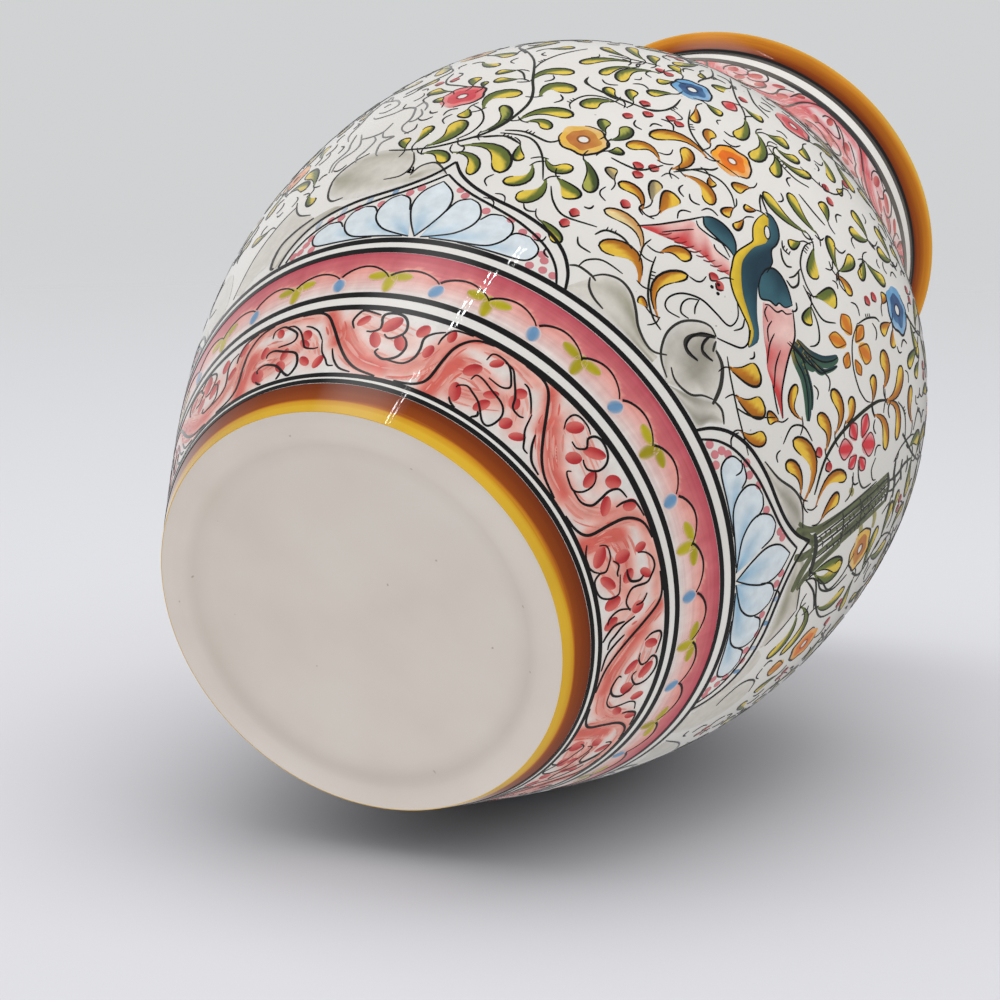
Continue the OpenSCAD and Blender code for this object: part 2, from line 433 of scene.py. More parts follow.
FILLET, FILLET_STEPS, LINING_STEPS = 7, 8, 90
lining_floor = FLOOR_Z + GLAZE_T
bends = [math.pi / 2 * i / FILLET_STEPS for i in range(FILLET_STEPS + 1)]
corner_r, corner_z = lining_radius(lining_floor + FILLET) - FILLET, lining_floor + FILLET
inner = [(0, lining_floor), (20, lining_floor)]
inner += [(corner_r + FILLET * math.sin(a), corner_z - FILLET * math.cos(a)) for a in bends]
top_z = inner[-1][1]
rows = [top_z + (LIP_Z - top_z) * i / LINING_STEPS for i in range(1, LINING_STEPS + 1)]
inner += [(lining_radius(z), z) for z in rows]
outer = [(lining_radius(z) + GLAZE_T * 0.8, z) for z in reversed(rows[::6])] + [(0, FLOOR_Z + 0.1)]
hang(turned([inner + outer], closed=False), "lining", "white_glaze", white_glaze, "inside_glaze")

# %% [markdown]
# ## Strokes of paint
# Each mark of the painting is a thin leaf of colour on the wall. A texture could hold the painting, but
# a stroke made of mesh keeps its edge at any distance and can be laid like a real one: along a path,
# with a width that swells and tapers. A flat grid is the start: its length goes along the path, its
# breadth across the stroke. Every point gets its own colour, and an extrusion gives the leaf a back
# that sits in the glaze.

# %% Laying a stroke
WASH, FILL, SECOND, LINE, TOP = 0.03, 0.05, 0.07, 0.09, 0.11
SINK = 0.15


def mixed(one, other, amount):
    amount = min(max(amount, 0), 1)
    return tuple(a + (b - a) * amount for a, b in zip(one, other))


def fresh_layer():
    bm = bmesh.new()
    bm.verts.layers.float_color.new("paint")
    return bm


def lay(layer, left, right, tint, lift, across=1, join=False):
    last = len(left) - 1
    paint = layer.verts.layers.float_color["paint"]
    patch = bmesh.ops.create_grid(layer, x_segments=last, y_segments=across, size=0.5)["verts"]
    for dot in patch:
        along, side = dot.co.x + 0.5, dot.co.y + 0.5
        (turn_a, climb_a), (turn_b, climb_b) = right[round(along * last)], left[round(along * last)]
        dot[paint] = (*(tint(along, side) if callable(tint) else tint), 1)
        dot.co = on_wall(turn_a + (turn_b - turn_a) * side, climb_a + (climb_b - climb_a) * side, lift)
    if join:
        bmesh.ops.remove_doubles(layer, verts=patch, dist=1e-7)


def edges_of(path, width, join=False):
    left, right = [], []
    last = len(path) - 1
    for i, (turn, climb) in enumerate(path):
        before = path[i - 1] if i else path[-2 if join else 0]
        after = path[i + 1] if i < last else path[1 if join else last]
        r = girth(climb)
        across, up = ((after[0] - before[0] + math.pi) % TAU - math.pi) * r, after[1] - before[1]
        size = math.hypot(across, up) or 1
        half = (width(i / last) if callable(width) else width) / 2
        left.append((turn - up / size * half / r, climb + across / size * half))
        right.append((turn + up / size * half / r, climb - across / size * half))
    return left, right


def stroke(layer, path, width, tint, lift, across=1, join=False):
    left, right = edges_of(path, width, join)
    lay(layer, left, right, tint, lift, across, join)


def curve(points, steps):
    found = []
    for k in range(steps + 1):
        s = k / steps * (len(points) - 1)
        i = min(int(s), len(points) - 2)
        f = s - i
        a, b, c, d = (points[min(max(j, 0), len(points) - 1)] for j in (i - 1, i, i + 1, i + 2))
        found.append(tuple(0.5 * (2 * q + (r - p) * f + (2 * p - 5 * q + 4 * r - s4) * f * f
                                  + (3 * q - p - 3 * r + s4) * f ** 3) for p, q, r, s4 in zip(a, b, c, d)))
    return found


def around_point(turn, climb):
    return lambda u, v: (turn + u / girth(climb + v), climb + v)


def spot(degrees, z):
    return around_point(math.radians(degrees), climb_at(z))


def taper(width, ends=0.3):
    return lambda t: width * (ends + (1 - ends) * math.sin(math.pi * min(max(t, 0), 1)) ** 0.6)


def swell(width, start, end):
    return lambda t: width * (start + (end - start) * t)


print("one stroke is", SINK, "mm deep and stands", TOP, "mm proud at most")

# %% [markdown]
# The painted glaze reads the colour that each point carries. A cloud of noise thins and thickens it, as
# water does, and the gloss is the same as on the white glaze beside it. The points also take the wall's
# own facing as their normal, so a reflection runs over paint and ground without a break.

# %% Painted glaze, and turning a layer into a piece
def carried_colour(tree):
    colour = tree.nodes.new("ShaderNodeAttribute")
    colour.attribute_name = "paint"
    return colour.outputs["Color"]


painted_glaze, tree, shader, where = new_finish("painted_glaze", GLOSS)
colour = carried_colour(tree)
pools = ramp(tree, cloud(tree, where, 420, detail=4), (0.25, (0.88, 0.88, 0.88)),
             (0.75, (1.07, 1.07, 1.07)))
tree.links.new(times(tree, colour, pools), shader.inputs["Base Color"])


def fire(layer, name, slot):
    backs = layer.verts[:]
    bmesh.ops.extrude_face_region(layer, geom=layer.faces[:])
    for dot in backs:
        dot.co -= facing(dot.co) * SINK * MM
    bmesh.ops.recalc_face_normals(layer, faces=layer.faces[:])
    piece = hang(layer, name, slot, painted_glaze)
    mesh = piece.data
    mesh.normals_split_custom_set_from_vertices([facing(v.co) for v in mesh.vertices])
    return piece


# %% [markdown]
# ## Lines around the vase
# Ten dark lines part the bands. They are drawn with a loaded brush against the turning wheel, so they
# waver a little in height and in width. Each is one stroke that closes on itself.

# %% Lines
INK = pigment(18, 17, 18)
hand = random.Random(7)
LINE_SPANS = [(7.4, 8.3), (9.1, 10.0), (25.7, 26.9), (28.7, 29.9), (40.5, 41.7), (43.5, 44.7),
              (178.7, 179.9), (181.7, 182.9), (210.3, 213.8), (219.7, 222.5)]


def around(count, height):
    path = [(TAU * i / count, height(TAU * i / count)) for i in range(count)]
    return path + [(TAU, path[0][1])]


def waver(amount, hand):
    parts = [(k, hand.uniform(0, TAU), amount / k ** 0.7) for k in (1, 2, 3, 5, 8)]
    return lambda turn: sum(size * math.sin(k * turn + shift) for k, shift, size in parts)


layer = fresh_layer()
for low_z, high_z in LINE_SPANS:
    middle, drift, breath = climb_at((low_z + high_z) / 2), waver(0.1, hand), waver(0.09, hand)
    path = around(240, lambda turn: middle + drift(turn))
    thick = climb_at(high_z) - climb_at(low_z)
    stroke(layer, path, lambda t: thick * (1 + breath(TAU * t)), INK, LINE, across=10, join=True)
lines = fire(layer, "band_lines", "black_glaze")
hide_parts("black_lines")

# %% [markdown]
# ## Scroll bands
# The band above the foot and the one around the neck carry the same running wave, seven times around.
# First comes a watery salmon wash, strongest along the wave; then red berries; then the black brush
# line with its curls. The wash has no edges, so it isn't made of strokes: every point of a finely
# turned coat asks how far it is from the wash lines and takes that much colour. All touches are given
# for one cell of the wave.

# %% One cell of the wave
SALMON = pigment(224, 108, 96)
SALMON_PALE = pigment(244, 182, 168)
BERRY = pigment(204, 62, 64)
BERRY_PALE = pigment(226, 116, 108)
BERRY_DARK = pigment(180, 40, 48)
CELL, CELL_TALL, CELLS, CELL_TURN = 48, 16.7, 7, 15
WASHES = [([(-23.2, 0.5), (-22.4, 6), (-21, 9.5)], 2.6, 1.1),
          ([(-24.6, 3), (-24.2, 10), (-22.4, 14.6), (-19, 16.4)], 2.0, 0.75),
          ([(-19, 15.4), (-12, 16), (-6, 15)], 2.0, 0.55),
          ([(-21, 8.5), (-17, 9.2), (-13, 8.4)], 2.4, 0.75),
          ([(-19.5, 3), (-14, 4.5), (-9, 7.6)], 2.8, 0.6), ([(-9, 11), (-6, 8), (-4, 4)], 2.6, 0.45),
          ([(-3.2, 15.6), (-0.4, 11), (0.4, 8)], 2.0, 1.0),
          ([(0.6, 11), (3.6, 7), (8, 3.6), (13, 2.6)], 3.0, 0.95), ([(2, 14), (8, 12), (16, 10)], 3, 0.34),
          ([(13, 2.6), (18, 3.6), (21.5, 7.5), (23, 12)], 2.4, 0.7)]
WAVE = [[(-31, 0.2), (-28, 0.5), (-25.6, 1.6), (-24.4, 3.6), (-24, 8), (-23.4, 11.8), (-22, 14.4),
         (-20, 16), (-17, 16.6)],
        [(-10, 16.6), (-6, 16.4), (-3.6, 15), (-1.2, 11.4), (1.6, 7), (4.6, 3.4), (8, 1.2), (12.5, 0.2)]]
VALLEY = [[(3.2, 11.6), (2.3, 13.4), (2.6, 15.4), (4, 16.2), (6, 16), (7.8, 15.3)],
          [(6.2, 11), (7.6, 10.8), (8.8, 11.8), (8.8, 13), (8, 14.4), (8.6, 15.9), (10.4, 16.4),
           (12.4, 15.8), (13.8, 14), (13.8, 12), (12.6, 10.2), (11, 10), (10.2, 10.6)],
          [(13.6, 11.4), (15.2, 10.2), (15.8, 8.4), (15.2, 6), (13.4, 4.8), (11.4, 5), (10, 6),
           (10.6, 6.8)],
          [(13, 4.6), (16.6, 4.6), (18.4, 6.4), (18.6, 9), (18.4, 11.6), (19.4, 13.6), (21.4, 14.6)],
          [(21.6, 11.4), (21.8, 13.4), (23, 15.8), (26.4, 16.5)],
          [(-3.2, 8.8), (-2.2, 5.6), (-0.6, 3.4), (0.4, 2), (1.8, 1.8)],
          [(0, 6.2), (1.4, 3.6), (3.4, 1.4), (6.6, 0.5)]]
HILLS = ([[(-16.8, 13), (-16.4, 14.6), (-14.6, 15.2), (-12.6, 14.2), (-10.4, 12), (-10, 10.6), (-11.4, 9.4),
           (-14.4, 9.6)],
          [(-13.4, 14.7), (-11.6, 14.4), (-9.6, 12.2), (-8, 9.4), (-6.6, 7.4), (-4.6, 6.8), (-3.6, 7)],
          [(-17, 7.4), (-16.6, 8.8), (-15, 8.9), (-12, 7.8), (-9, 6.6), (-7.6, 4.6), (-7.6, 2.2),
           (-8.6, 0.7), (-10, 1), (-13, 3.8), (-15, 5), (-17, 5.8), (-18.4, 5), (-18.6, 4)],
          [(-18.4, 1.6), (-17.4, 0.6), (-16.2, 0.2)], [(-11.6, 2.2), (-11.6, 1), (-12.2, 0.2)],
          [(-8.2, 13.2), (-6.8, 12.8), (-5, 11), (-3.2, 8.6)]],
         [[(-16, 12), (-15, 14), (-13.4, 15.2), (-11.6, 15.4), (-10, 14.4), (-9.4, 12.6), (-9.4, 9.4),
           (-8.6, 7.6), (-7, 6.8), (-5.6, 7.4), (-4.8, 8)],
          [(-14, 8.6), (-12.4, 8.4), (-11, 9.2), (-10.4, 11), (-10.8, 12.4)],
          [(-17, 5.8), (-15.6, 6.8), (-14.4, 6.2), (-13.2, 6)],
          [(-13.6, 6.8), (-11.4, 6.2), (-9.6, 5.6), (-9.6, 3.6), (-10.4, 1.6), (-12.4, 0.3), (-14.6, 0.4),
           (-15.8, 1.8), (-16, 3.6), (-16.6, 4.8), (-18.4, 5.7), (-20.4, 5.6), (-21.6, 4.2)],
          [(-23, 1.6), (-21.6, 0.4), (-19.4, 0.1), (-17.4, 0.6), (-16.2, 2)],
          [(-5, 8), (-6, 5), (-5.6, 2.6), (-4, 1.6)], [(-3, 6), (-3.2, 3.6), (-2, 1.6), (-0.6, 0.2)],
          [(-7, 12.4), (-5.6, 11), (-5.6, 9.6)]])
VALLEY_FRUIT = [(4.6, 13.6, 3.2), (10.8, 13.4, 4), (8.8, 9, 3.4), (14.2, 9.2, 3.6), (17.4, 13.4, 3.4),
                (20.4, 9.2, 3.3), (23, 14.4, 3)]
HILL_FRUIT = ([(-14.7, 13.4, 2.8), (-17.8, 9.4, 3.2), (-18.2, 3.2, 3.8), (-11.8, 6.8, 2.6), (-12, 3.6, 3.4),
               (-7.4, 10.8, 2.8), (-7.2, 8.4, 2.8), (-5.8, 3.6, 3), (-2.2, 3, 3)],
              [(-16.6, 13.2, 3), (-11.2, 13, 2.8), (-16.8, 8.4, 3.4), (-12.4, 8.6, 3.4), (-19.2, 3.2, 3.8),
               (-13.2, 3.4, 3.6), (-8.4, 3.6, 3.4), (-5, 9.8, 3.2), (-4, 2.6, 3.2)])

# %% The wave around foot and neck
def pen(layer, place, points, width=0.42, tint=INK, lift=LINE, ends=0.4):
    path = [place(*point) for point in curve(points, 5 * (len(points) - 1))]
    stroke(layer, path, taper(width, ends), tint, lift)


def dab(layer, place, u, v, length, fat, heading, tint, lift):
    cosine, sine = math.cos(heading), math.sin(heading)
    path = []
    for k in range(9):
        d = -length / 2 * math.cos(math.pi * k / 8)
        path.append(place(u + cosine * d, v + sine * d))
    stroke(layer, path, lambda t: fat * max(0.15, math.sin(math.pi * t)), tint, lift, across=3)


def off(u, v, points):
    found = CELL
    for (a, b), (c, d) in zip(points, points[1:]):
        s = min(max(((u - a) * (c - a) + (v - b) * (d - b)) / ((c - a) ** 2 + (d - b) ** 2), 0), 1)
        found = min(found, math.hypot(u - a - s * (c - a), v - b - s * (d - b)))
    return found


def soaked(u, v, strength, pale, deep):
    sides = (u, u - CELL) if u > CELL_TURN else (u,)
    amount = strength * max(depth * math.exp(-(off(x, v, points) / reach) ** 2)
                            for points, reach, depth in WASHES for x in sides)
    return mixed(mixed(WHITE, pale, 2 * amount), deep, 2 * amount - 0.9)


def scroll(name, low_z, high_z, origin, node, strength, pale, deep, hand):
    base, tall = climb_at(low_z), climb_at(high_z) - climb_at(low_z)
    ground = turned([coat(low_z, high_z, 0.7)], steps=504)
    paint = ground.verts.layers.float_color.new("paint")
    for dot in ground.verts:
        part = (math.atan2(dot.co.y, dot.co.x) - origin) / TAU * CELLS
        v = (climb_at(dot.co.z / MM) - base) / tall * CELL_TALL
        dot[paint] = (*soaked((part - round(part)) * CELL, v, strength, pale, deep), 1)
    hang(ground, name + "_ground", "red_wash_glaze", painted_glaze, node)
    lines, fruit, streaks = fresh_layer(), fresh_layer(), fresh_layer()
    for k in range(CELLS):
        def place(u, v):
            level = min(max(v, 0.1), CELL_TALL - 0.1) / CELL_TALL
            return origin + TAU / CELLS * (k + u / CELL), base + tall * level

        for points, reach, depth in WASHES:
            whole = [place(*point) for point in curve(points, 24)]
            for n in range(round(5 * reach)):
                first = hand.randrange(0, 16)
                path = edges_of(whole[first:first + hand.randrange(6, 12)],
                                hand.uniform(-2.2, 2.2) * reach)[0]
                if all(base + 0.3 < climb < base + tall - 0.3 for turn, climb in path):
                    stroke(streaks, path, taper(hand.uniform(0.25, 0.7), 0.15),
                           mixed(pale, deep, strength * depth * hand.uniform(0.1, 1.3)), WASH)
        for points in WAVE:
            pen(lines, place, points, 0.68, ends=0.6)
        for points in VALLEY + HILLS[k % 2]:
            jog = [(u + hand.uniform(-0.25, 0.25), v + hand.uniform(-0.2, 0.2)) for u, v in points]
            pen(lines, place, jog, hand.uniform(0.42, 0.64), ends=0.5)
        for u, v, size in VALLEY_FRUIT + HILL_FRUIT[k % 2]:
            aim, turned_in = hand.uniform(0.7, 2.4), hand.choice((-1, 1))
            dab(fruit, place, u, v, size * hand.uniform(0.95, 1.3), size * hand.uniform(0.62, 0.9), aim,
                lambda t, s: mixed(BERRY_PALE, mixed(BERRY, BERRY_DARK, t),
                                   0.4 + turned_in * 1.5 * (s - 0.5) + 0.5 * t),
                FILL)
    fire(streaks, name + "_streaks", "red_wash_glaze")
    fire(fruit, name + "_berries", "red_wash_glaze")
    fire(lines, name + "_lines", "black_glaze")


PHOTO_SIDE = -5.9
scroll("scroll", SCROLL_LOW, SCROLL_HIGH, math.radians(PHOTO_SIDE), "scroll_band_glaze", 1,
       SALMON_PALE, SALMON, random.Random(11))
scroll("neck_scroll", NECK_LOW, NECK_HIGH, math.radians(PHOTO_SIDE + 14), "neck_band_glaze", 1.25,
       pigment(246, 184, 186), pigment(232, 92, 100), random.Random(12))

# %% [markdown]
# ## Scallops
# A row of 34 small arcs runs around the rose band. Above the arcs the band is a streaky rose that the
# painter wiped on while the wheel turned, darkest at the upper line; below them it thins to peach and
# then to white. So each point of the ground asks how far it is above or below its arc, and squeezed
# noise gives the wipe marks.

# %% Rose ground
ARCS = 34
CUSP_Z = 34.4
ARC_RISE = 2.6
ARC_START = PHOTO_SIDE - 3.2
ROSE = pigment(224, 128, 130)
ROSE_DEEP = pigment(194, 80, 96)
PEACH = pigment(243, 164, 152)
rose_wash, tree, shader, where = new_finish("rose_wash", GLOSS)
colour = carried_colour(tree)
wipes = ramp(tree, cloud(tree, where, 1, squeeze=(40, 40, 1500), detail=5), (0.3, (0.9, 0.84, 0.84)),
             (0.7, (1.06, 1.06, 1.06)))
dabs = ramp(tree, cloud(tree, where, 1, squeeze=(420, 420, 60), detail=3), (0.3, (0.94, 0.88, 0.88)),
            (0.7, (1.05, 1.08, 1.08)))
streaky = times(tree, times(tree, colour, wipes), dabs)
tree.links.new(streaky, shader.inputs["Base Color"])


def rosy(turn, z):
    part = (turn - math.radians(ARC_START)) / TAU * ARCS % 1
    arc = CUSP_Z + ARC_RISE * math.sin(math.pi * part) ** 0.75
    if z > arc:
        return mixed(ROSE, ROSE_DEEP, (z - arc) / (SCALLOP_HIGH - arc))
    return mixed(PEACH, WHITE, ((arc - z) / (arc - SCALLOP_LOW)) ** 1.4)


ground = turned([coat(SCALLOP_LOW, SCALLOP_HIGH, 0.6)], steps=15 * ARCS)
paint = ground.verts.layers.float_color.new("paint")
for dot in ground.verts:
    dot[paint] = (*rosy(math.atan2(dot.co.y, dot.co.x), dot.co.z / MM), 1)
hang(ground, "scallop_ground", "rose_wash_glaze", rose_wash, "scallop_band_glaze")

# %% [markdown]
# Under every second cusp hangs an olive sprig of three dabs, and under the others a blue drop. Each arc
# is its own quick stroke, so heights and ends vary.

# %% Scallops, sprigs and drops
OLIVE = pigment(196, 182, 34)
OLIVE_DEEP = pigment(156, 142, 18)
DROP_BLUE = pigment(112, 156, 196)
lines, sprigs = fresh_layer(), fresh_layer()
hand = random.Random(21)


def soft_dab(place, u, v, length, fat, heading, tint, ground):
    cosine, sine = math.cos(heading), math.sin(heading)
    path = [place(u + cosine * d, v + sine * d)
            for d in (-length / 2 * math.cos(math.pi * k / 12) for k in range(13))]

    def blot(t, s):
        return mixed(ground, tint, 2.6 * math.sin(math.pi * s) * math.sin(math.pi * t) ** 0.5 - 0.45)

    stroke(sprigs, path, lambda t: fat * max(0.1, math.sin(math.pi * t) ** 0.8), blot, FILL, across=6)


for k in range(ARCS):
    degrees = ARC_START + 360 / ARCS * k + hand.uniform(-0.5, 0.5)
    place = spot(degrees, CUSP_Z)
    reach = TAU / ARCS * girth(climb_at(CUSP_Z)) * 0.98
    rise = ARC_RISE + hand.uniform(-0.4, 0.5)
    steps = [i / 14 for i in range(15)]
    arc = [place(reach * t, rise * math.sin(math.pi * t) ** 0.75 - 0.4 * math.sin(math.pi / 2 * t))
           for t in steps]
    stroke(lines, arc, swell(0.54, 1.1, 0.6), INK, LINE)
    if k % 2:
        soft_dab(place, 0, -2.4, 3.8, 3.4, math.pi / 2 + hand.uniform(-0.5, 0.5), DROP_BLUE,
                 pigment(244, 216, 206))
    else:
        soft_dab(place, 0.3, -1.8, 5.6, 3.2, math.pi / 2 + hand.uniform(-0.15, 0.15),
                 mixed(OLIVE, OLIVE_DEEP, hand.random()), pigment(242, 204, 190))
        for side in (-1, 1):
            soft_dab(place, side * 2.7, -0.1, 4.8, 2.9, hand.uniform(-0.25, 0.25),
                     mixed(OLIVE, OLIVE_DEEP, 0.6 * hand.random()), pigment(240, 190, 174))
fire(sprigs, "scallop_sprigs", "rose_wash_glaze")
fire(lines, "scallop_lines", "black_glaze")

# %% [markdown]
# ## Keeping places free
# The field is crowded, but no mark sits on another. Every motif claims round places on the wall, and a
# leaf that only fills a gap is painted where its own places are still free. Rows of equal climb keep
# the search short. The painter's layout is given around a few spots on one side and painted again on
# the other side.

# %% Places already painted
ROW = 6
taken = {}
SPOTS = {"bird": (7.1, 79.6), "left": (-22, 84), "above": (-12, 122), "right": (36, 94),
         "far_right": (64, 70), "far_left": (-52, 88), "rocks": (6, 46), "left_lappet": (-44.3, 44.7),
         "right_lappet": (50.7, 44.7)}
HALVES = (PHOTO_SIDE, PHOTO_SIDE + 180)


def near(half, name):
    degrees, z = SPOTS[name]
    return spot(half + degrees, z)


def claim(place, *rounds):
    for u, v, radius in rounds:
        turn, climb = place(u, v)
        taken.setdefault(int(climb // ROW), []).append((turn, climb, radius))


def is_free(turn, climb, radius):
    r = girth(climb)
    for row in range(int(climb // ROW) - 3, int(climb // ROW) + 4):
        for turn_b, climb_b, other in taken.get(row, ()):
            across = ((turn - turn_b + math.pi) % TAU - math.pi) * r
            if math.hypot(across, climb - climb_b) < radius + other:
                return False
    return True


def patch(layer, place, one, other, tint, lift, steps=16, across=5):
    left, right = ([place(*p) for p in curve(edge, steps)] for edge in (one, other))
    lay(layer, left, right, tint, lift, across)


print("the field's layout is painted twice, half a turn apart")

# %% [markdown]
# ## Rocks
# Washed boulders lie between the lappets, warm grey and olive, darker where the wash pooled. Each is a
# patch between two edges; the bold outlines and swirls over them are separate strokes, as they are on
# the vase.

# %% Rocks
STONE = pigment(156, 151, 138)
STONE_PALE = pigment(222, 216, 206)
STONE_OLIVE = pigment(172, 166, 146)
STONES = [("rocks", STONE_OLIVE,
           [(-24, -1), (-21.6, 4.6), (-20, 7.4), (-17, 8.6), (-13.6, 7.8), (-10.4, 5.4), (-7.4, 2.6),
            (-4, 1), (0, 1)],
           [(-24, -1.2), (-20, -1.2), (-16, -1.2), (-12, -1.2), (-8, -1.2), (-4, -1.2), (0, -1.2)]),
          ("rocks", STONE,
           [(4.4, -1.2), (1.4, 0.8), (-0.8, 3), (-2.4, 7), (-2, 11.4), (0.4, 15), (3, 16.6), (5.6, 16)],
           [(5.4, -1.2), (10.6, 2), (13, 4.6), (15.2, 5.6), (13.4, 10), (10.6, 13), (7.4, 14.2),
            (5.6, 16)]),
          ("rocks", STONE, [(6, -1.2), (10, 1.6), (13, 4.6), (15.6, 6.6), (17.6, 6.8), (20, 5.8)],
           [(7, -1.2), (13, -1.2), (16.6, -1), (17.6, 2), (19, 4), (20, 5.6)]),
          ("left_lappet", STONE_OLIVE,
           [(-31.6, 25), (-30, 19.4), (-26, 16.4), (-22, 15), (-15, 15.4), (-8, 17.4), (-5.6, 19.6)],
           [(-31, 27), (-27, 31), (-22, 31.6), (-16, 31), (-11.6, 29), (-10, 25), (-10.6, 21)]),
          ("left_lappet", STONE_OLIVE, [(-9.2, 20), (-8, 23), (-5, 24.2), (-2.6, 22.6), (-0.8, 20.6)],
           [(-9, 18.6), (-6, 18.8), (-4, 19.4), (-2, 20.2), (-0.8, 20.6)]),
          ("left_lappet", STONE_OLIVE,
           [(-38.4, 1), (-39, 5), (-38.4, 8.6), (-35, 11), (-31, 12.6), (-26, 14)],
           [(-36, 0.4), (-34, 3), (-31, 7), (-28, 9.6), (-25, 11.6), (-23, 13)]),
          ("left_lappet", STONE_PALE, [(-52, 3), (-50, 12), (-45, 20), (-41, 21), (-37, 16.6), (-33, 14.6)],
           [(-48, 0.2), (-44, 3), (-40, 4), (-39.4, 8), (-36, 11.4), (-31.4, 13)]),
          ("right_lappet", STONE, [(-22.6, 13.8), (-18, 16.4), (-13.6, 20.6), (-9.6, 22.4), (-4, 22.6)],
           [(-22.6, 13), (-15, 14.2), (-9, 16.4), (-5, 18.6), (-2.6, 21.4)]),
          ("right_lappet", STONE_OLIVE, [(3, 21.6), (6, 24), (10.6, 23.4), (17, 24), (21, 20), (23.6, 16)],
           [(3, 20.6), (7, 18.4), (12, 16.8), (16, 15.8), (20, 15), (23.6, 14.2)]),
          ("right_lappet", STONE_PALE, [(24, 14), (27, 16.4), (31, 15), (34, 11), (36, 5), (36.4, 0.4)],
           [(24.6, 13.4), (27.4, 12.2), (31, 9), (33.6, 6), (35, 3), (35.4, 0.2)]),
          ("right_lappet", STONE_PALE, [(38, 0.4), (34.6, 8), (34.6, 17), (37, 20.6), (41, 21.6), (44, 20)],
           [(44, 0.4), (46, 4), (47, 9), (47, 13), (46.4, 17), (44, 20)])]
STONE_LINES = [("rocks", 0.6,
                [(4.4, -0.6), (1.4, 0.8), (-0.8, 3), (-2.4, 7), (-2, 11.4), (0.4, 15), (3, 16.6),
                 (5.4, 16.1)]),
               ("rocks", 1.0, [(7.4, 13.9), (10.6, 13), (13.4, 10), (14.8, 7), (15.2, 5.4)]),
               ("rocks", 0.55, [(14.6, 6.2), (12.4, 4.4), (10.6, 2), (7.8, 0.8), (5.4, 0.8), (3.4, 1.9)]),
               ("rocks", 0.95, [(5.4, 15.8), (2.4, 12.6), (1.4, 10), (2, 8.4), (3.8, 7.7), (6.2, 8.4)]),
               ("rocks", 0.7, [(4.4, 14.6), (4.6, 12), (6, 10.7), (8.6, 11.6)]),
               ("rocks", 0.6, [(6, 15.4), (6.6, 14), (7.2, 13)]),
               ("rocks", 0.65,
                [(-21.6, 5.2), (-20, 7.4), (-17, 8.6), (-13.6, 7.8), (-10.4, 5.4), (-7.4, 2.6), (-4, 1),
                 (-1.4, 1), (1, 3)]),
               ("rocks", 0.6, [(-21.8, 4.6), (-20.4, 2.4), (-18, 0.8), (-15, 0)]),
               ("rocks", 0.6, [(-20.4, 4.6), (-22, 5.2), (-25.2, 5.4), (-26.8, 4.4)]),
               ("rocks", 0.6, [(15, 6.2), (17.6, 6.8), (20.2, 5.6)]),
               ("left_lappet", 0.6,
                [(-24.8, 16.4), (-28, 16.6), (-30.6, 20), (-31.8, 26), (-29, 30), (-25, 32)]),
               ("left_lappet", 0.5, [(-15.6, 19.6), (-12, 20), (-10.4, 22), (-10.4, 25), (-12, 28.6)]),
               ("left_lappet", 0.55, [(-9.2, 20), (-8, 23), (-5, 24.2), (-2.6, 22.6), (-0.6, 20.4)]),
               ("left_lappet", 1.0,
                [(-31, 12.6), (-35, 11), (-38.4, 8.6), (-39, 5), (-38.4, 1.6), (-37, 0.5)]),
               ("left_lappet", 0.5, [(-33, 14.6), (-37, 16.6), (-40, 20), (-42, 24)]),
               ("left_lappet", 0.5, [(-52, 2), (-50, 12), (-45, 19), (-41, 22)]),
               ("right_lappet", 0.6, [(-22.8, 13.8), (-18, 16.4), (-13.6, 20.6), (-9.6, 22.4), (-4, 22.2)]),
               ("right_lappet", 0.45, [(10.5, 23), (14, 23.4), (17.6, 24)]),
               ("right_lappet", 0.55, [(17.6, 23.8), (21, 20), (23.6, 15.8)]),
               ("right_lappet", 0.6,
                [(41, 21.6), (37, 20.6), (34.6, 17), (34.6, 13.6), (37, 11), (39.4, 10)])]
stones, stone_lines = fresh_layer(), fresh_layer()
for half in HALVES:
    for k, (name, tone, one, other) in enumerate(STONES):
        def cloudy(t, s):
            swirl = 0.4 * math.sin(5 * t + 2 * s + k) + 0.3 * math.sin(9 * s - 3 * t + 2 * k)
            return mixed(WHITE, mixed(tone, STONE_PALE, 0.72 + swirl), 0.3 + 5 * min(s, 1 - s))

        patch(stones, near(half, name), one, other, cloudy, WASH - 0.01 + 0.002 * k, steps=20, across=8)
        for a, b in zip(curve(one, 8), curve(other, 8)):
            for s in (0.15, 0.5, 0.85):
                claim(near(half, name), (a[0] + (b[0] - a[0]) * s, a[1] + (b[1] - a[1]) * s, 2.2))
    for name, width, points in STONE_LINES:
        pen(stone_lines, near(half, name), points, width, mixed(INK, STONE, 0.1))
fire(stones, "rocks", "white_glaze")
fire(stone_lines, "rock_lines", "black_glaze")

# %% [markdown]
# ## Lappets
# Four pointed lappets stand on the upper line, each with a double outline, a fan of pale blue petals
# and pink dots in its corners. A petal is a patch between its two edges, deeper blue at the foot of the
# fan. The outer petals come first and the middle one last, so each covers the side of the one before.

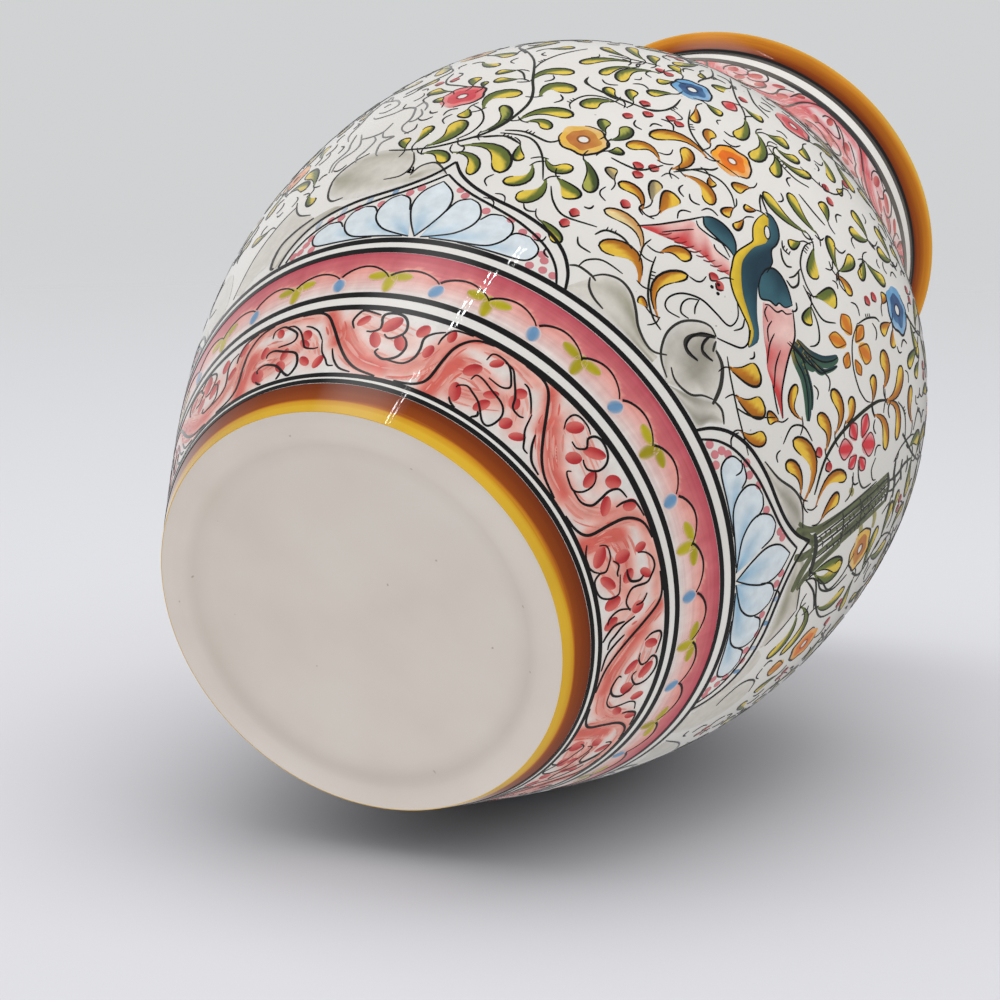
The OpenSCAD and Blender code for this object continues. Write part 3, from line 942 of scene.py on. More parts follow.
# %% Lappets
PETAL = pigment(226, 235, 240)
PETAL_DEEP = pigment(128, 182, 214)
PINK = pigment(218, 132, 138)
LAPPET_OUTER = [(35.2, 0), (34.2, 4), (31.5, 8), (27, 11), (20, 13.2), (13, 14.8), (7.5, 17), (3, 20.4),
                (0, 24.6)]
LAPPET_INNER = [(33, 0), (31.2, 3.8), (27.5, 7.2), (21, 10.2), (14, 12.4), (8, 14.6), (3.6, 17.2),
                (0, 20.2)]
PETALS = [([(10, 0.5), (16, 3), (19.4, 5.4), (21, 7.4), (24, 7.8)],
           [(10, 0.4), (17, 0.5), (24.2, 1.2), (26.6, 3.4), (26.6, 6), (24, 7.8)]),
          ([(3, 0.5), (8, 4.4), (12, 8), (13.6, 10.2), (16.2, 10.8)],
           [(3, 0.4), (7.4, 0.5), (14.6, 1.2), (18, 3.4), (19.6, 6.8), (18.8, 9.6), (16.2, 10.8)]),
          ([(1.4, 0.5), (2.6, 4.5), (4.2, 8.4), (5.6, 12), (8.2, 13.4)],
           [(1.4, 0.4), (4.6, 1.2), (8.4, 2.8), (11.2, 5.8), (12, 9), (10.6, 12.2), (8.2, 13.4)]),
          ([(0, 0.5), (-2.6, 5), (-4.3, 10), (-3.4, 14.4), (0, 17.8)],
           [(0, 0.4), (2.6, 5), (4.3, 10), (3.4, 14.4), (0, 17.8)])]
DOTS = [(31.4, 1.2), (29.2, 1.4), (29, 3.4), (27.8, 5), (26.4, 0.9), (24.6, 8.8), (21.4, 8.6), (18.2, 10.6),
        (12.6, 10.8), (6.4, 14.2), (4.4, 15.4)]
DASHES = [(27.8, 9), (22, 11), (16, 12.9), (10.4, 14.6)]
petals, pale_dots, lappet_lines = fresh_layer(), fresh_layer(), fresh_layer()
hand = random.Random(31)
for half in HALVES:
    for name, marked in (("left_lappet", 1), ("right_lappet", -1)):
        place = near(half, name)
        for k, (inner_side, outer_side) in enumerate(PETALS):
            for side in (-1, 1)[:2 if k < 3 else 1]:
                jog = hand.uniform(-0.35, 0.35)
                one, other = ([(side * u + jog, v) for u, v in edge] for edge in (inner_side, outer_side))
                lift = WASH + 0.012 * k

                def blue(t, s):
                    ripple = 0.22 * math.sin(7 * s + k + side) - 0.25 * s * (1 - t)
                    return mixed(PETAL_DEEP, PETAL, 0.35 + 0.1 * marked + 1.5 * t + ripple)

                patch(petals, place, one, other, blue, lift, across=6)
                for edge in (other, one[(2 if k < 3 else 0):]):
                    pen(lappet_lines, place, edge, 0.48, lift=lift + 0.03, ends=0.6)
        for u, v in DOTS:
            for side in (-1, 1):
                dot_u, dot_v = side * u + hand.uniform(-0.4, 0.4), v + hand.uniform(-0.3, 0.3)
                dab(pale_dots, place, dot_u, dot_v, 2.0, 1.9, 1.2, PINK, FILL)
        for u, v in DASHES:
            dab(pale_dots, place, marked * -u, v, 2.6, 1.2, 1.3,
                mixed(DROP_BLUE, WHITE, hand.uniform(0, 0.5)), FILL)
        for outline, thick in ((LAPPET_OUTER, 0.88), (LAPPET_INNER, 0.66)):
            for side in (-1, 1):
                pen(lappet_lines, place, [(side * u, v) for u, v in outline], thick, lift=TOP, ends=0.7)
        claim(place,
              *[(u, v - 4, 6.5) for u in range(-32, 33, 8) for v in (2, 10) if v < 14 - abs(u) * 0.22],
              (0, 17, 4))
fire(petals, "lappet_petals", "white_glaze")
fire(pale_dots, "lappet_dots", "rose_wash_glaze")
fire(lappet_lines, "lappet_lines", "black_glaze")

# %% [markdown]
# ## Birds
# One large bird stands on a stone on each side, neck stretched up, wings half open and a forked tail.
# It is made as the painter makes it: first patches of colour between two edges, then feathers, then
# fine lines.

# %% Birds
TEAL = pigment(62, 104, 116)
TEAL_DEEP = pigment(34, 60, 74)
BREAST = pigment(236, 200, 60)
BREAST_DEEP = pigment(196, 160, 40)
FEATHER = pigment(216, 70, 72)
FEATHER_PALE = pigment(248, 206, 198)
TAIL = pigment(66, 100, 78)
THROAT = [(-7.8, 17.2), (-8.1, 14), (-7.6, 11), (-6.2, 8.6), (-5.4, 7.4), (-5.6, 5), (-6, 2), (-5.8, -0.4),
          (-4.6, -3), (-3, -5.8), (0, -8), (4, -9.4), (7.4, -10.4), (9.4, -12.6), (10.4, -13.6)]
BREAST_EDGE = [(-6.6, 17), (-5.2, 14.8), (-3.2, 11), (-3.4, 9), (-4.2, 6.4), (-4.2, 3), (-3.6, 0),
               (-1.6, -3), (1.4, -6), (5, -8), (8.6, -9.8), (10, -12), (10.4, -13.6)]
BACK = [(-7.8, 17.6), (-6.4, 18.3), (-4, 17.4), (-2, 15.2), (-1.2, 12.6), (-1.2, 10.4), (-0.4, 9), (1, 7.4),
        (1.6, 4), (2, 0), (4, -3.2), (7, -6.6), (9.6, -8.6), (11, -10.6), (10.6, -13.4)]
RIGHT_CAP = ([(1.2, 2), (1, 4.6), (2, 6.6), (4.2, 7.2), (7.4, 6.4), (10.6, 4.6)],
             [(1.2, 2), (2.4, -0.6), (4.6, -2.4), (6.4, -0.6), (8, 0), (8.2, 1.4), (9.8, 2.2), (10.6, 4.6)])
RIGHT_WING = ([(11.3, 3.9), (14, 1.8), (16.2, -0.4), (18, -4.4), (20.6, -8.6), (23.4, -11.8), (27.4, -14)],
              [(5.6, -2.6), (8.6, -6), (11.4, -8.4), (14, -10), (16.6, -12), (20, -12.8), (27.4, -14.2)])
LEFT_CAP = ([(-6, 0.6), (-7.4, 2.6), (-9.6, 4), (-12.4, 4.4), (-15, 3.6), (-16.4, 1.8)],
            [(-6, -0.4), (-8, 0), (-11, -0.2), (-14.6, 0), (-16, 1.4), (-16.4, 1.8)])
LEFT_WING = ([(-5.4, -2.6), (-9.2, -3.2), (-12.6, -1.8), (-15.4, -1.8), (-17.4, -1.4), (-20, -5.4),
              (-24.4, -12)],
             [(-3.4, -5.4), (-6, -6.4), (-9, -6.8), (-12, -7.2), (-16, -9), (-20, -10.6), (-24.4, -12)])
TAIL_STROKES = [(3.4, [(15.8, -2.2), (19, -1.2), (22, -0.2), (24.6, 1.4)]),
                (2.8, [(16.8, 0), (21, 1.4), (24.6, 4.6), (26.2, 8), (26.6, 10.4)]),
                (1.1, [(21, 1), (26, 3.4), (27.4, 6), (28, 9)]), (1.1, [(20, 0), (25.6, 2), (27, 4.4)]),
                (2.9, [(17, -2), (20, -3), (24, -3), (28, -4.4), (32.4, -6.8)]),
                (1.3, [(20, -1), (27, -2.4), (31, -4.6)]), (1.8, [(15.6, -3), (19, -1.6), (22, -0.8)])]
BIRD_LINES = [(0.45, [(-11.4, 21.2), (-10.4, 19), (-8.6, 16.6)]),
              (0.45, [(-11.2, 21.2), (-9.6, 19.6), (-7.4, 18)]), (0.4, THROAT), (0.42, BACK[:9]),
              (0.5, RIGHT_CAP[0]), (0.42, RIGHT_CAP[1]), (0.55, RIGHT_WING[0]), (0.5, LEFT_CAP[0]),
              (0.42, LEFT_CAP[1]),
              (0.5, [(-16.4, 2), (-18, -1.6), (-20, -5.4), (-22, -8.8), (-24.6, -12.2)]),
              (0.42, [(11.8, 3), (11, 1.4), (9.8, 0.8), (9.2, -0.8), (7, -1.6), (6.2, -2.6)]),
              (0.4, [(6.8, -2.2), (7.4, -4), (9.4, -4.8)]), (0.4, [(9.8, -3.6), (10.4, -6), (12.6, -7.8)]),
              (0.42, [(12.2, -5), (13.2, -8), (15.8, -11.4)]),
              (0.42, [(15.8, -6), (17.6, -9.6), (21, -13)]),
              (0.4, [(20, -12.8), (23.6, -14.2), (26, -14.8)]),
              (0.4,
               [(-16.8, -0.4), (-15.4, -1.4), (-12.6, -1.2), (-10.6, -0.6), (-9.2, -0.4), (-6.2, -1.6)]),
              (0.4, [(-10.6, -2.2), (-9.2, -3), (-6, -2.4)]),
              (0.38, [(-15.8, -3), (-18, -6.4), (-20, -9.6)]),
              (0.45,
               [(1.6, -8.6), (4, -11), (4.6, -13.6), (3.6, -15), (0, -15.4), (-4, -16), (-7.4, -18.4),
                (-8.8, -21.4), (-8.4, -23.8), (-6.8, -24.6), (-4.2, -23.6)]),
              (0.42, [(-4.2, -16.6), (-5.8, -18.4), (-6, -20.6), (-4.8, -22.4), (-2.8, -22)]),
              (0.4, [(-4.2, -16.4), (-3.6, -18.6), (-2.6, -20)]),
              (0.42, [(5.4, -10), (6.4, -12), (5.6, -14.4)]),
              (0.45, [(8, -10.4), (9.6, -13), (9.4, -15.4), (6.6, -17.8), (4.2, -19.4)]),
              (0.55, [(3.8, -19.4), (1.2, -22), (0.4, -25), (1.4, -27.4), (5, -27.2)]),
              (0.5, [(3.6, -19.6), (2.8, -22), (3.8, -24.4), (7.2, -24)])]
plumage, bird_lines = fresh_layer(), fresh_layer()


def breast_tint(t, s):
    return mixed(BREAST_DEEP, BREAST, 1.5 * s + 0.2)


def back_tint(t, s):
    return mixed(TEAL_DEEP, TEAL, 0.7 * s + 0.4 * math.sin(9 * t))


def cap_tint(t, s):
    return mixed(TEAL_DEEP, TEAL, 1.3 - 1.2 * s + 0.3 * math.sin(8 * t))


def right_tint(t, s):
    return mixed(FEATHER_PALE, FEATHER,
                 1.25 * t ** 1.4 + 0.45 * (1 - s) ** 2 - 0.12 + 0.18 * math.sin(16 * t))


def left_tint(t, s):
    return mixed(FEATHER_PALE, FEATHER, 1.2 * (1 - s) - 0.1 + 0.25 * math.sin(22 * t) + 0.5 * (t - 0.7))


def tail_tint(t, s):
    return mixed(mixed(BREAST_DEEP, TAIL, 3 * t), TEAL_DEEP, 1.3 * s - 0.2)


for half in HALVES:
    place = near(half, "bird")
    patch(plumage, place, THROAT, BREAST_EDGE, breast_tint, FILL, 30, 3)
    patch(plumage, place, BREAST_EDGE, BACK, back_tint, FILL, 30, 4)
    dab(plumage, place, -4.5, 13, 3.9, 1.9, 2.2, INK, SECOND)
    dab(plumage, place, -4.5, 13, 3.1, 1.2, 2.2, WHITE, LINE)
    for cap in (RIGHT_CAP, LEFT_CAP):
        patch(plumage, place, *cap, cap_tint, SECOND, 20, 4)
    patch(plumage, place, *RIGHT_WING, right_tint, FILL + 0.01, 24, 5)
    patch(plumage, place, *LEFT_WING, left_tint, FILL + 0.01, 24, 5)
    for width, points in TAIL_STROKES:
        path = [place(*p) for p in curve(points, 12)]
        stroke(plumage, path, taper(width, 0.35), tail_tint, FILL, across=3)
        pen(bird_lines, place, points, 0.4)
    for width, points in BIRD_LINES:
        pen(bird_lines, place, points, width, lift=TOP)
    for k in range(9):
        u, v = -5 - 1.75 * k, -4.6 - 0.42 * k
        pen(bird_lines, place, [(u + 0.6, v), (u - 0.1, v - 1.6), (u - 1.2, v - 2.4)], 0.34,
            mixed(INK, FEATHER, 0.3), TOP)
    for u, v in ((-3.7, -9.6), (-4.3, -11.4), (-2.4, -11.4)):
        dab(bird_lines, place, u, v, 0.9, 0.8, 0, INK, LINE)
    claim(place, (-9.4, 18.6, 2.4), (-5, 14, 3.6), (-4, 8, 3), (-3, 2, 4), (1, -3, 4.6), (5, 3, 4.6),
          (9, -2, 5), (14, -6, 5), (20, -10, 4), (26, -14, 2.4), (6, -9, 3), (-11, 1, 4), (-14, -5, 4.4),
          (-8, -4, 3.6), (-20, -8, 3.4), (-23.6, -11.4, 2), (19, 0, 3), (25, 5, 2.6), (24, -2, 2.6),
          (30, -5.6, 2), (2, -14, 3), (-6, -19, 3.4), (-6, -24, 2.4), (7, -16, 3), (2, -23, 3.4))
fire(plumage, "bird_plumage", "white_glaze")
fire(bird_lines, "bird_lines", "black_glaze")

# %% [markdown]
# ## Trees and deer
# A bare trunk of upright grey-green strokes rises behind every second lappet, with white left between
# the strokes and dark hatching over them. A deer in thin grey line stands on the stones beside the
# other lappet.

# %% Trees and deer
BARK = pigment(112, 118, 82)
BARK_DARK = pigment(56, 58, 52)
STUB = pigment(172, 164, 104)
DEER = pigment(146, 144, 142)
TRUNK = [(1.5, [(13.4, -30.6), (16, -28), (17.8, -24), (18.6, -16), (19, -6)]),
         (1.4, [(18.9, -26), (19.3, -12), (19.7, 0), (20, 9)]),
         (1.3, [(21.3, -26), (21.4, -12), (21.5, 2), (21.7, 9)]),
         (1.4, [(24.4, -26), (23.9, -12), (23.7, 2), (23.7, 10)]),
         (1.3, [(26.9, -26), (25.9, -12), (25.9, 0), (26.4, 8)]),
         (1.9, [(30.4, -29.6), (28.4, -27), (27, -21), (26.4, -14)]),
         (2.2, [(21, -25), (17.4, -28.4), (14.6, -31.6)]), (2.2, [(23.6, -25.4), (26.6, -29), (30, -31.4)]),
         (2, [(22.4, -25), (22.4, -29), (21, -32)])]
HATCHES = [(1.5, [(18.6, -25), (22, -24.2), (26, -24.8), (29, -25.6)]),
           (0.55, [(20.1, -24), (20.3, -10), (20.7, 4), (20.9, 9)]),
           (0.6, [(22.5, -25), (22.6, -8), (22.5, 8)]), (0.55, [(25.2, -24), (24.8, -8), (24.8, 8)]),
           (0.5, [(18.2, -22), (18.5, -10), (18.7, 2)]), (0.5, [(18.6, -14), (22, -13.4), (26, -14.2)]),
           (0.5, [(20, -6), (23, -5.4), (26.6, -6.2)]), (1.3, [(19.6, 8.4), (23, 9.2), (26.8, 8.2)]),
           (1.3, [(18.4, 13.4), (22, 12.4), (24, 13.2), (28, 12.8)]),
           (1.0, [(20.6, 18), (23, 17.2), (26, 18.2)]), (0.7, [(21.4, 21.6), (24, 22.2), (25.6, 21.4)]),
           (0.8, [(22, 9), (23, 14), (22.6, 20), (23.6, 25)]), (0.6, [(24.6, 9), (25.6, 12.6), (24.8, 18)]),
           (0.45, [(18.6, 12), (17, 17), (17.4, 24), (19, 28)]), (0.45, [(27, 12), (30, 11), (32, 10.2)]),
           (0.4, [(29.4, 7), (28.6, 11), (30.4, 15)]),
           (0.4, [(12.8, 1.8), (14.6, -0.6), (17.2, -0.2), (18, 1.4)]),
           (0.5, [(17.8, -1), (17, -5), (13.6, -6.8), (9.6, -6.4)]),
           (0.45, [(11.4, -9), (14, -9.6), (16, -11), (16.6, -13)])]
STUBS = [(1.8, [(25.6, 1.4), (28, 2.6), (30.6, 2.2)]), (1.8, [(25.6, -5), (28.4, -4.4), (31, -4.8)]),
         (1.6, [(14.8, -11), (15.6, -9.8), (16.4, -10.4)])]
DEER_LINES = [[(-24, 8), (-22, 6), (-17, 5), (-14, 6), (-11, 4.8), (-10, 3), (-9.2, -1), (-10, -4),
               (-9, -6.4), (-6.6, -8.4)],
              [(-10.6, 5), (-9.4, 6.8), (-7.4, 4.4), (-7, 2)],
              [(-8.4, 3), (-6.8, 0), (-7.6, -2.4), (-9, -2.6)],
              [(-21.6, -4), (-18, -5), (-15, -4.4), (-14, -1)],
              [(-15, -4.4), (-13.6, -7.4), (-10.4, -8.4), (-13, -10), (-12.6, -14), (-11.6, -15.6)],
              [(-17, -5.4), (-15.6, -8), (-16.6, -11.4), (-18, -13.4), (-17.4, -15.6)],
              [(-25, 0.4), (-24.4, -4), (-23.6, -7.6), (-26, -11), (-25.4, -15)],
              [(-22.8, -1), (-20.4, -6.6), (-21, -9.4), (-24.4, -11.4), (-24.4, -15.4)],
              [(-28, 20), (-24, 17.4), (-20.6, 14.8), (-18.4, 11.4), (-18.6, 9.6), (-21, 8.6), (-23.4, 10)],
              [(-23.8, 13.4), (-23, 14.2), (-22, 13.8)],
              [(-28, 20), (-28.6, 14), (-28, 8), (-28.6, 3), (-26.6, -1.4)],
              [(-26, 18.8), (-26.6, 22.4), (-25, 20.4), (-24, 17.6)]]
bark, deer_lines = fresh_layer(), fresh_layer()
hand = random.Random(51)
for half in HALVES:
    place = near(half, "right")
    for k, (width, points) in enumerate(TRUNK):
        def rough(t, s):
            return mixed(BARK, BARK_DARK, 0.25 + 0.55 * math.sin(14 * t + 2 * k) * math.sin(5 * s + k))

        path = [place(*p) for p in curve(points, 20)]
        stroke(bark, path, taper(width, 0.5), rough, FILL + 0.003 * k, across=2)
    for width, points in STUBS:
        stroke(bark, [place(*p) for p in curve(points, 8)], taper(width, 0.5), STUB, FILL)
    for width, points in HATCHES:
        pen(bark, place, points, width, BARK_DARK)
    for k in range(34):
        u, v = hand.uniform(18.8, 25), -23 + 31 * k / 34
        pen(bark, place, [(u, v), (u + 0.6, v + 0.6), (u + 1.5, v + 0.3)], 0.36, BARK_DARK)
    claim(place, *[(u, v, 3) for v in range(-27, 12, 5) for u in (20, 25)],
          *[(23, v, 3.4) for v in range(12, 27, 5)], (29, 2, 1.6), (29, -5, 1.6))
    place = near(half, "far_left")
    for points in DEER_LINES:
        pen(deer_lines, place, points, 0.55, mixed(DEER, INK, hand.uniform(0, 0.2)))
    claim(place, (-23, 13, 4.6), (-26, 4, 4), (-20, 0, 5.6), (-12, 0, 5), (-24, -10, 3.6), (-14, -11, 4),
          (-8, 3, 2.6))
fire(bark, "tree_trunks", "white_glaze")
fire(deer_lines, "deer_lines", "black_glaze")

# %% [markdown]
# ## Flowers
# Round flowers sit among the leaves: a pale ring, a deeper ring inside it, and a white eye with a dark
# edge. A ring is a stroke between two wavy circles that closes on itself. Two open flowers have
# separate petals.

# %% Flowers
FLOWER_TINTS = {"red": (pigment(236, 118, 118), pigment(216, 70, 80)),
                "blue": (pigment(108, 168, 212), pigment(52, 84, 130)),
                "orange": (pigment(250, 166, 44), pigment(238, 116, 30)),
                "ochre": (pigment(240, 190, 80), pigment(198, 122, 62))}
FLOWERS = [(-4.9, 138, "red", 4.7), (-20.3, 121.6, "blue", 4.6), (28.3, 123.8, "blue", 5.4),
           (-7.5, 103.2, "orange", 4.8), (-51.7, 94.8, "red", 5.2), (-27.5, 83.7, "ochre", 5.2),
           (59.7, 90.9, "ochre", 4.9), (75.1, 78.7, "orange", 4.6), (-82.3, 84, "orange", 4.4),
           (52, 140, "orange", 4.2), (-60, 128, "ochre", 4.2), (84, 118, "red", 4.4),
           (-88, 150, "blue", 4.2), (-36, 152, "orange", 4.0), (18, 156, "ochre", 4.0),
           (62, 160, "blue", 4.0), (-66, 172, "red", 3.8), (-8, 173.2, "blue", 3.6),
           (40, 173.4, "red", 3.6), (88, 173.4, "orange", 3.6)]
OPEN_RED = [(7, -4, 9.6, 2, 5), (5.6, -3.6, 1.6, 0.6, 3.6), (5, -6, 0.6, -7, 3.6), (6, -8, 4, -13.6, 4.4),
            (8.2, -6.8, 9.6, -10.8, 2.8), (9.2, -5.8, 13, -4, 2.8)]
OPEN_OCHRE = [(-13.8, 4.6, -15.4, 10.4, 2.8), (-12.4, 5, -8, 8.6, 4.6), (-15.8, 4.2, -21, 4, 4.4),
              (-10.8, 1.8, -6.8, 2.2, 2.4), (-15, 0.8, -19, -4.2, 3.4), (-13.2, 0.4, -10.8, -3, 2.6)]
blooms, bloom_lines = fresh_layer(), fresh_layer()
hand = random.Random(61)
RING = 36


def flower(place, radius, rim, core):
    turn, eye = hand.uniform(0, TAU), hand.uniform(0.22, 0.3)
    edge = lambda a: radius * (1 + 0.045 * math.sin(5 * a + turn) + 0.03 * math.sin(8 * a - turn))
    circle = [TAU * i / RING for i in range(RING + 1)]
    round_of = lambda size: [place(size(a) * 1.03 * math.cos(a), size(a) * math.sin(a)) for a in circle]
    outside, inside = round_of(edge), round_of(lambda a: eye * 0.8 * radius)
    middle = round_of(lambda a: 0.68 * edge(a) * (1 + 0.07 * math.sin(4 * a + turn)))
    streak = lambda t: 0.12 + 0.16 * math.sin(TAU * t + turn) + 0.12 * math.sin(5 * TAU * t)
    lay(blooms, middle, outside, lambda t, s: mixed(rim, WHITE, streak(t) * (1 - 0.6 * s)), FILL, 2, True)
    lay(blooms, inside, middle,
        lambda t, s: mixed(core, rim, 1.1 * streak(t) * (1 - s)), FILL + 0.01, 2, True)
    stroke(bloom_lines, round_of(lambda a: eye * radius), 0.4, mixed(INK, core, 0.45), LINE, 1, True)
    start, far = hand.randrange(RING), hand.randrange(25, 36)
    stroke(bloom_lines, [outside[(start + i) % RING] for i in range(far)], taper(0.62, 0.3), INK, LINE)
    claim(place, (0, 0, radius + 0.6))


def petal(place, root_u, root_v, tip_u, tip_v, fat, edge, core):
    du, dv = tip_u - root_u, tip_v - root_v
    length, heading = math.hypot(du, dv), math.atan2(dv, du)
    u, v = (root_u + tip_u) / 2, (root_v + tip_v) / 2
    dab(blooms, place, u, v, length, fat, heading,
        lambda t, s: mixed(edge, core, 1.7 * math.sin(math.pi * s) - 0.45 + 0.3 * t), FILL)
    for side in (-1, 1):
        out_u, out_v = -dv / length * fat / 2 * side, du / length * fat / 2 * side
        pen(bloom_lines, place,
            [(root_u, root_v), (u + out_u, v + out_v),
             (u + du * 0.28 + out_u * 0.8, v + dv * 0.28 + out_v * 0.8), (tip_u, tip_v)],
            hand.uniform(0.3, 0.5), mixed(INK, core, 0.15))
    claim(place, (u, v, fat * 0.5 + 0.8))


for half in HALVES:
    for degrees, z, kind, radius in FLOWERS:
        flower(spot(half + degrees, z), radius, *FLOWER_TINTS[kind])
    for shape in OPEN_RED:
        petal(near(half, "right"), *shape, pigment(244, 176, 176), pigment(222, 62, 72))
    for shape in OPEN_OCHRE:
        petal(near(half, "right"), *shape, pigment(240, 186, 66), pigment(218, 124, 40))
    petal(near(half, "above"), -3, 4.4, -3, -0.4, 3.6, pigment(242, 160, 156), pigment(222, 72, 76))
    petal(near(half, "far_right"), 18.5, 3.2, 18.5, -2.4, 4.4, pigment(240, 196, 84), pigment(214, 128, 40))
fire(blooms, "flowers", "white_glaze")
fire(bloom_lines, "flower_lines", "black_glaze")

# %% [markdown]
# ## Vines and leaves
# Comma-shaped leaves crowd the field, green around most of the vase and ochre near the birds. A leaf is
# one press of the brush: thin at the root, fat near the head, bent to one side. The body colour sits on
# the outside of the bend, yellow on the inside and at the head, and a quick black line follows the
# outside and turns over the head. Each is given by its root, its head, the bend and the fattest width,
# in millimetres.

# %% One leaf
GREEN = pigment(112, 124, 54)
GREEN_DEEP = pigment(78, 92, 46)
GOLD = pigment(234, 204, 76)
OCHRE = pigment(204, 128, 38)
OCHRE_DEEP = pigment(150, 84, 24)
TAIL_REACH = 2.8
LEAF_STEPS = (0, 0.12, 0.25, 0.38, 0.5, 0.62, 0.73, 0.82, 0.89, 0.945, 0.98, 1)
LEAF_WIDTHS = (0.12, 0.2, 0.34, 0.52, 0.7, 0.87, 0.98, 1, 0.92, 0.74, 0.46, 0.12)
LEAF_TINTS = {"green": (GREEN, GREEN_DEEP, GOLD), "ochre": (OCHRE, OCHRE_DEEP, pigment(242, 198, 70)),
              "bounce_glow_material": (GREEN_DEEP, pigment(62, 74, 50), pigment(176, 176, 84)),
              "gold": (pigment(186, 176, 62), GREEN, GOLD),
              "dun": (pigment(158, 144, 112), pigment(126, 112, 84), pigment(216, 190, 120)),
              "faded": (pigment(222, 178, 120), OCHRE, pigment(244, 220, 160))}
